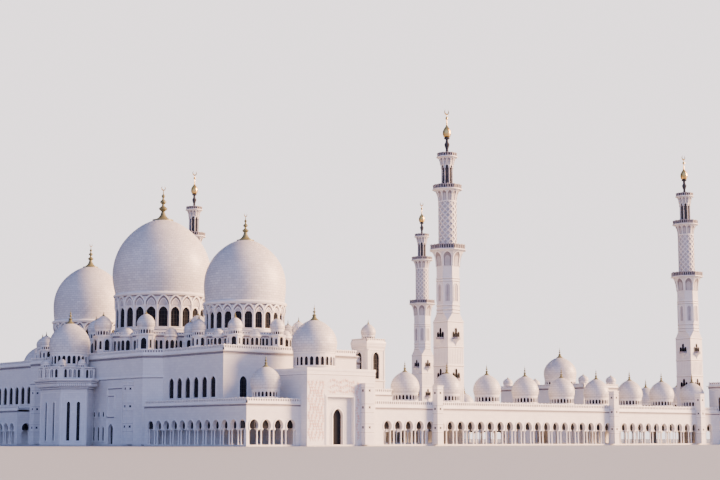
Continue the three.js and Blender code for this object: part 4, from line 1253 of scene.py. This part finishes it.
def wing(name, side):
    """A courtyard wing: its outer and court arcades, and its roof with a row of small domes."""
    west, east, front, court = WING["west"], WING["east"], WING["front"], WING["court"]
    inner, back, gate_west, gate_east = HALL["east"], HALL["half"], GATE["west"], GATE["east"]
    outer = Part(f"{name}_wing_outer_arcade")
    arcade(outer, west, -front, 0, gate_west - west, WING["first_arch"] - west, WING["last_arch"] - west)
    for x in WING_PYLONS:
        pylon(outer, x - PYLON / 2, x + PYLON / 2, -front - PYLON, -front, 17.1)
    outer.build(side)

    yard = Part(f"{name}_wing_court_arcade")
    length = EAST["court"] - inner
    arcade(yard, EAST["court"], -court, 180, length, 0.0, length, COURT_ARCH)
    yard.build(side)

    roof = Part(f"{name}_wing_roof")
    outline = [
        (west, -front), (gate_west, -front), (gate_west, -GATE["back"]), (gate_east, -GATE["back"]),
        (gate_east, -front), (east, -front), (east, -court), (inner, -court), (inner, -back), (west, -back),
    ]
    roof.add("paving", cap(outline, WING_ROOF), cap(outline, WING_EAVES - 0.4, False))
    low_roof(roof, rectangle(west, gate_west, -front, -court), (1, 2, 3))
    low_roof(roof, rectangle(gate_east, east, -front, -court), (2, 3))
    low_roof(roof, rectangle(inner, EAST["court"], -front, -court), (0, 1, 3))
    attic = rectangle(west, west + 8, -front + 1, -front + 9)
    roof.add("wall", loft(attic, [(0, WING_EAVES), (0, 14.3)]))
    roof.add("paving", cap(attic, 14.5))
    cornice(roof, attic, 14.5, 0.6)
    parapet(roof, attic, 14.5, 1.8)
    for i in range(WING_DOMES["count"]):
        low_dome(roof, WING_DOMES["first"] + WING_DOMES["pitch"] * i, WING_DOMES["y"], WING_ROOF, SMALL_DOME)
    roof.build(side)


def east_wing(name, side):
    """A half of the eastern wing, between the courtyard's corner and the entrance."""
    half, edge, court = WING["front"], ENTRANCE["half"], WING["court"]
    outer = Part(f"east_wing_outer_arcade_{name}")
    arcade(outer, EAST["front"], -half, 90, half - edge, 1.1, half - edge)
    wall_run(outer, GATE["east"], -half, 0, EAST["front"] - GATE["east"], WING_EAVES)
    outer.build(side)
    yard = Part(f"east_wing_court_arcade_{name}")
    arcade(yard, EAST["court"], -edge, -90, court - edge, 0.0, court - edge, COURT_ARCH)
    yard.build(side)
    roof = Part(f"east_wing_roof_{name}")
    outline = rectangle(EAST["court"], EAST["front"], -court, -edge)
    roof.add("paving", cap(outline, WING_ROOF), cap(outline, WING_EAVES - 0.4, False))
    low_roof(roof, outline, (0, 2))
    for y in EAST["domes_y"]:
        low_dome(roof, EAST["domes_x"], y, WING_ROOF, SMALL_DOME)
    roof.build(side)


def entrance():
    """The entrance block, with a turret at each corner and a dome in the middle."""
    part = Part("entrance_block", "entrance_block", "entrance_dome")
    west, east, half, top = ENTRANCE["west"], ENTRANCE["east"], ENTRANCE["half"], ENTRANCE["top"]
    eaves = top - 1.3
    middle = {"at": half, "width": 7.0, "top": 14.0, "hood": 0.5, "shape": GREAT_SHAPE}
    window = {"width": 2.4, "sill": 6.0, "top": 12.0, "glass": 0.5, "hood": 0.3}
    front = [middle] + [{**window, "at": half + along} for along in (-15, -9, 9, 15)]
    corners = rectangle(west, east, -half, half)
    four_walls(part, corners, eaves, ([], front, [], front))
    block_roof(part, corners, eaves + 0.1)
    size = {"sill": eaves + 0.2, "head": eaves + 1.5, "top": top + 0.7, "crown": top + 3.3, "tip": top + 4.0}
    for x in (west + 2.1, east - 2.1):
        for y in (-half + 2.1, half - 2.1):
            turret(part, x, y, 2.0, eaves - 0.5, size, 0)
    low_dome(part, ENTRANCE["dome_x"], 0, top - 1.2, ENTRANCE_DOME)
    part.build()


def gate(name, side):
    """A gateway block at an eastern corner, with a great arch through it."""
    part = Part(f"{name}east_gate")
    west, east, front, back = GATE["west"], GATE["east"], GATE["front"], GATE["back"]
    eaves = GATE["top"] - 1.3
    length, depth = east - west, front - back
    way = {"at": length / 2, "width": 6.0, "top": 12.0, "hood": 0.4, "shape": GREAT_SHAPE}
    slit = {"width": 1.2, "sill": 11.5, "top": 16.5, "glass": 0.4, "hood": 0.22}
    middle = [{**slit, "at": depth / 2}]
    fronts = [way, {**slit, "at": 3.4}, {**slit, "at": length - 3.4}]
    corners = rectangle(west, east, -front, -back)
    four_walls(part, corners, eaves, (fronts, middle, [way], middle))
    block_roof(part, corners, eaves + 0.1)
    part.build(side)


# Minarets

def balcony(part, neck, radius, low, high, sides, height):
    """A balcony that flares out on large pointed niches in painted shade, with a pierced parapet whose darker
    stone and dark backing are painted shade.
    """
    turns = [k * math.pi / 16 for k in range(9)]
    profile = [(neck + (radius - neck) * (1 - math.cos(t)), low + (high - low) * math.sin(t)) for t in turns]
    part.add("wall", lathe(profile, sides, 0, 0, 0.5))
    width = 2 * neck * math.sin(math.pi / sides)
    niche = arch(0.74 * width, low + 0.15, high - 0.12 * (high - low), rise=0.9, lean=0.7)
    start = 360 / sides
    # The niches' fields are painted shade: dark, with a mid-grey back.
    part.add("shade", around(draped(filled(niche, 0.05, 8), profile, sides), sides, 0, 0, start))
    back = arch(0.5 * width, low + 0.15, high - 0.34 * (high - low), rise=0.9, lean=0.7)
    part.add("recess", around(draped(filled(back, 0.09, 8), profile, sides), sides, 0, 0, start))
    (half, foot), (_, spring) = niche[-1], niche[-2]
    side = [(half, spring + (foot - spring) * k / 5) for k in range(1, 6)]
    line = [(-u, v) for u, v in reversed(side)] + niche[1:-1] + side
    part.add("trim", around(draped(band(line, 0.1 * width, -0.05, 0.2), profile, sides), sides, 0, 0, start))
    outline = polygon(sides, radius)
    part.add("trim", loft(outline, [
        (-0.1, high - 0.1), (0.2, high - 0.04), (0.22, high + 0.22), (-0.5, high + 0.24),
    ]))
    part.add("trim", cap(offset(outline, -0.4), high + 0.24))
    parapet(part, outline, high + 0.24, height, (), (0.1, 0.74, 0.86), "fretwork", "dark")


def lattice(radius, low, high, count, turnings, out):
    """Raised bands that wind round a shaft both ways."""
    steps = 26
    items = []
    for hand in (-1, 1):
        line = [(hand * (k / steps - 0.5) * turnings * 2 * math.pi * radius, low + (high - low) * k / steps)
                for k in range(steps + 1)]
        items.append(around(bent(band(line, 0.3, -0.03, out), radius), count))
    return join(items)


def shaft_windows(part, level, half):
    """Three pointed windows in a row over a small balcony on a pointed corbel, on each side of a shaft."""
    side = Part("side")
    for u, height in ((-1.1, 2.5), (0, 3.7), (1.1, 2.5)):
        outline = arch(1.02, level, level + height, steps=4)
        side.add("glass", moved(panel(outline, [], -0.1, 0.03), u))
        side.add("trim", moved(band(outline, 0.08, -0.02, 0.12), u))
    side.add("trim", lathe([
        (0.05, level - 2.1), (0.2, level - 1.6), (0.5, level - 0.9), (1.1, level - 0.3), (1.5, level),
    ], 16))
    # A rail in darker stone: painted shade, for the shade seen through its piercings.
    side.add("fretwork", lathe([(1.45, level), (1.45, level + 0.7), (1.3, level + 0.7)], 24))
    for turn in (0, 90, 180, 270):
        part.take(side, lambda form: moved(moved(form, 0, -half), 0, 0, 0, turn))


def minaret_shaft(part):
    """The square shaft with its windows and flutes, and the eight-sided stage on it."""
    half, flats, neck = MINARET["half"], MINARET["flats"], MINARET["neck"]
    square = rectangle(-half, half, -half, half)
    eight = polygon(8, flats / math.cos(math.pi / 8))
    part.add("wall", loft(square, [(0, FLOOR), (0, neck)]))
    c = half - 0.02
    corners = [(half, c), (c, half), (-c, half), (-half, c), (-half, -c), (-c, -half), (c, -half), (half, -c)]
    part.add("wall", rings([
        [(px, py, neck) for px, py in corners],
        [(px, py, neck + 2.6) for px, py in eight],
    ]))
    part.add("wall", loft(eight, [(0, neck + 2.6), (0, 56.6)]))
    fillets(part, square, MINARET["square_courses"], 0.14, 0.4)
    fillets(part, eight, MINARET["eight_courses"], 0.2, 0.42)
    for level in MINARET["windows"]:
        shaft_windows(part, level, half)
    flutes = []
    for u in np.linspace(-2.8, 2.8, 9):
        for low, high in MINARET["flutes"]:
            flutes.append(box(u - 0.09, u + 0.09, -half - 0.08, -half + 0.02, low, high))
    part.add("trim", around(join(flutes), 4))

    def on_flats(form):
        return around(moved(form, 0, -flats), 8)

    side = 2 * flats * math.tan(math.pi / 8)
    slot = arch(0.5 * side, 44.6, 50.2, rise=0.7, steps=4)
    # The slots are painted shade: a mid-grey field with a dark line down its middle.
    part.add("recess", on_flats(panel(slot, [], -0.1, 0.02)))
    part.add("shade", on_flats(box(-0.1, 0.1, -0.05, 0.1, 44.8, 49.6)))
    part.add("trim", on_flats(band(slot, 0.16, -0.02, 0.16)))
    part.add("trim", on_flats(column(-0.44 * side, 0, 44.0, 50.7, 0.12, 6)))


def minaret_lantern(part):
    """The ring of columns under the top balcony, and the lantern and gilded finial over it."""
    # The columns in mid-grey painted shade, and a dark core of painted shade between them.
    part.add("recess", around(column(0, -1.8, 80.4, 87.4, 0.2, 10), 8, 0, 0, 22.5))
    part.add("dark", lathe([(1.45, 80.4), (1.45, 88.3)], 24))
    head = [(-0.67, 87.2), *arch(0.86, 87.2, 88.2, steps=4), (0.67, 87.2), (0.67, 88.6), (-0.67, 88.6)]
    part.add("wall", around(moved(panel(head, [], -0.2, 0.25), 0, -1.75), 8))
    balcony(part, **TOP_BALCONY)
    part.add("dark", lathe([
        (1.1, 91.2), (0.55, 92.0), (0.42, 93.4), (0.75, 94.4), (0.85, 95.0), (0.5, 95.7), (0.4, 96.5),
        (0.9, 96.8), (0.95, 97.1), (0.5, 97.3),
    ], 20))
    part.add("gold", lathe([
        (0.5, 97.1), (1.1, 97.5), (1.34, 98.4), (1.28, 99.3), (0.85, 100.2), (0.4, 100.8), (0.2, 101.4),
        (0.14, 102.6), (0.13, 103.0), (0.42, 103.2), (0.42, 103.7), (0.12, 104.0), (0.1, 104.6),
    ], 24))
    part.add("gold", moon(0, 0, 105.6, 0.85))


def minaret(name, x, y):
    """A minaret: square and eight-sided stages, a round stage under a lattice, and a lantern."""
    part = Part(f"minaret_{name}", f"minaret_{name}_shaft", f"minaret_{name}_tower")
    minaret_shaft(part)
    balcony(part, **LOW_BALCONY)
    radius = MINARET["round"]
    # The round stage's core is painted shade in mid grey, which shows between the raised bands.
    part.add("recess", lathe([(radius, 61.0), (radius, 77.2)], 40))
    part.add("wall", lattice(radius, 61.6, 76.6, 10, 0.8, 0.24))
    for level in (61.1, 76.2):
        ring_mould(part, 0, 0, radius, level, 0.3, 0.5, 40)
    balcony(part, **MIDDLE_BALCONY)
    minaret_lantern(part)
    part.change(lambda form: moved(form, x, y))
    part.build()


# The whole building

def add_building():
    """Every sub-part, and marble on the two floors that stay as they are."""
    for name, dome, size, side, turret_size, window in (
        ("main", MAIN_DOME, MAIN_STOREY, 1, MAIN_TURRET, MAIN_WINDOW),
        ("south", SIDE_DOME, SIDE_STOREY, -1, SIDE_TURRET, SIDE_WINDOW),
        ("north", SIDE_DOME, SIDE_STOREY, 1, SIDE_TURRET, SIDE_WINDOW),
    ):
        great_dome(name, dome, side)
        drum(name, dome, size, side, window)
        storey(name, dome, size, side, turret_size)
    hall()
    west_block()
    niche_tower()
    niche_gallery()
    courtyard_front()
    entrance()
    for name, side in (("south", -1), ("north", 1)):
        terrace(name, side)
        portal(name, side)
        courtyard_tower(name, side)
        wing(name, side)
        east_wing(name, side)
        gate(name, side)
        for across in ("west", "east"):
            minaret(f"{name}{across}", MINARET[across], side * MINARET["y"])
    for node in ("hall_floor", "wing_floor"):
        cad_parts[node].data.materials.clear()
        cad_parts[node].data.materials.append(MATERIALS["paving"])


# Camera, light and floor

def add_camera():
    """Where the photographer stood, low and to the south-west."""
    data = bpy.data.cameras.new("camera")
    data.sensor_width = 36.0
    data.lens = CAMERA["lens"]
    data.clip_end = 3000.0
    camera = bpy.data.objects.new("camera", data)
    camera.location = Vector(np.array(CAMERA["place"]) * SCALE + ORIGIN)
    heading, pitch = math.radians(CAMERA["heading"]), math.radians(CAMERA["pitch"])
    look = Vector((math.cos(heading) * math.cos(pitch), math.sin(heading) * math.cos(pitch), math.sin(pitch)))
    camera.rotation_euler = look.to_track_quat("-Z", "Y").to_euler()
    bpy.context.scene.collection.objects.link(camera)
    bpy.context.scene.camera = camera


def add_sun():
    """Low warm light from the south-east."""
    sun = bpy.data.lights.new("key", "SUN")
    sun.energy = 21.0
    sun.angle = math.radians(24)
    sun.color = (1.0, 0.6, 0.34)
    key = bpy.data.objects.new("key", sun)
    key.rotation_euler = Vector((0.775, -0.535, 0.33)).to_track_quat("Z", "Y").to_euler()
    bpy.context.scene.collection.objects.link(key)


def add_world():
    """A soft blue room that is pale towards the north-east."""
    world = bpy.data.worlds.new("studio")
    world.use_nodes = True
    tree = world.node_tree
    looks = tree.nodes.new("ShaderNodeTexCoord").outputs["Generated"]
    toward = add_node(tree, "ShaderNodeVectorMath", {0: looks, 1: (0.64, 0.76, 0.1)}, operation="DOT_PRODUCT")
    toward = toward.outputs["Value"]
    color = tinted(tree, ranged(tree, toward, 0.0, 1.0, -1.0, 0.2), (0.84, 1.02, 1.85), (0.05, 0.07, 0.15))
    color = tinted(tree, ranged(tree, toward, 0.0, 1.0, 0.88, 0.95), color, (2.3, 2.05, 2.1))
    feed(tree, tree.nodes["Background"], {"Color": color})
    bpy.context.scene.world = world


def add_floor():
    """A wide bluish floor just under the model."""
    mesh = bpy.data.meshes.new("floor")
    reach, level = 1500.0, -0.002
    mesh.from_pydata([(-reach, -reach, level), (reach, -reach, level), (reach, reach, level),
                      (-reach, reach, level)], [], [(0, 1, 2, 3)])
    floor = bpy.data.objects.new("floor", mesh)
    bpy.context.scene.collection.objects.link(floor)
    pale = (0.36, 0.4, 0.47)
    mesh.materials.append(plain("floor_finish", pale, pale, 0.4, (0.7, 0.7), relief=0.0))


add_building()
add_camera()
add_sun()
add_world()
add_floor()
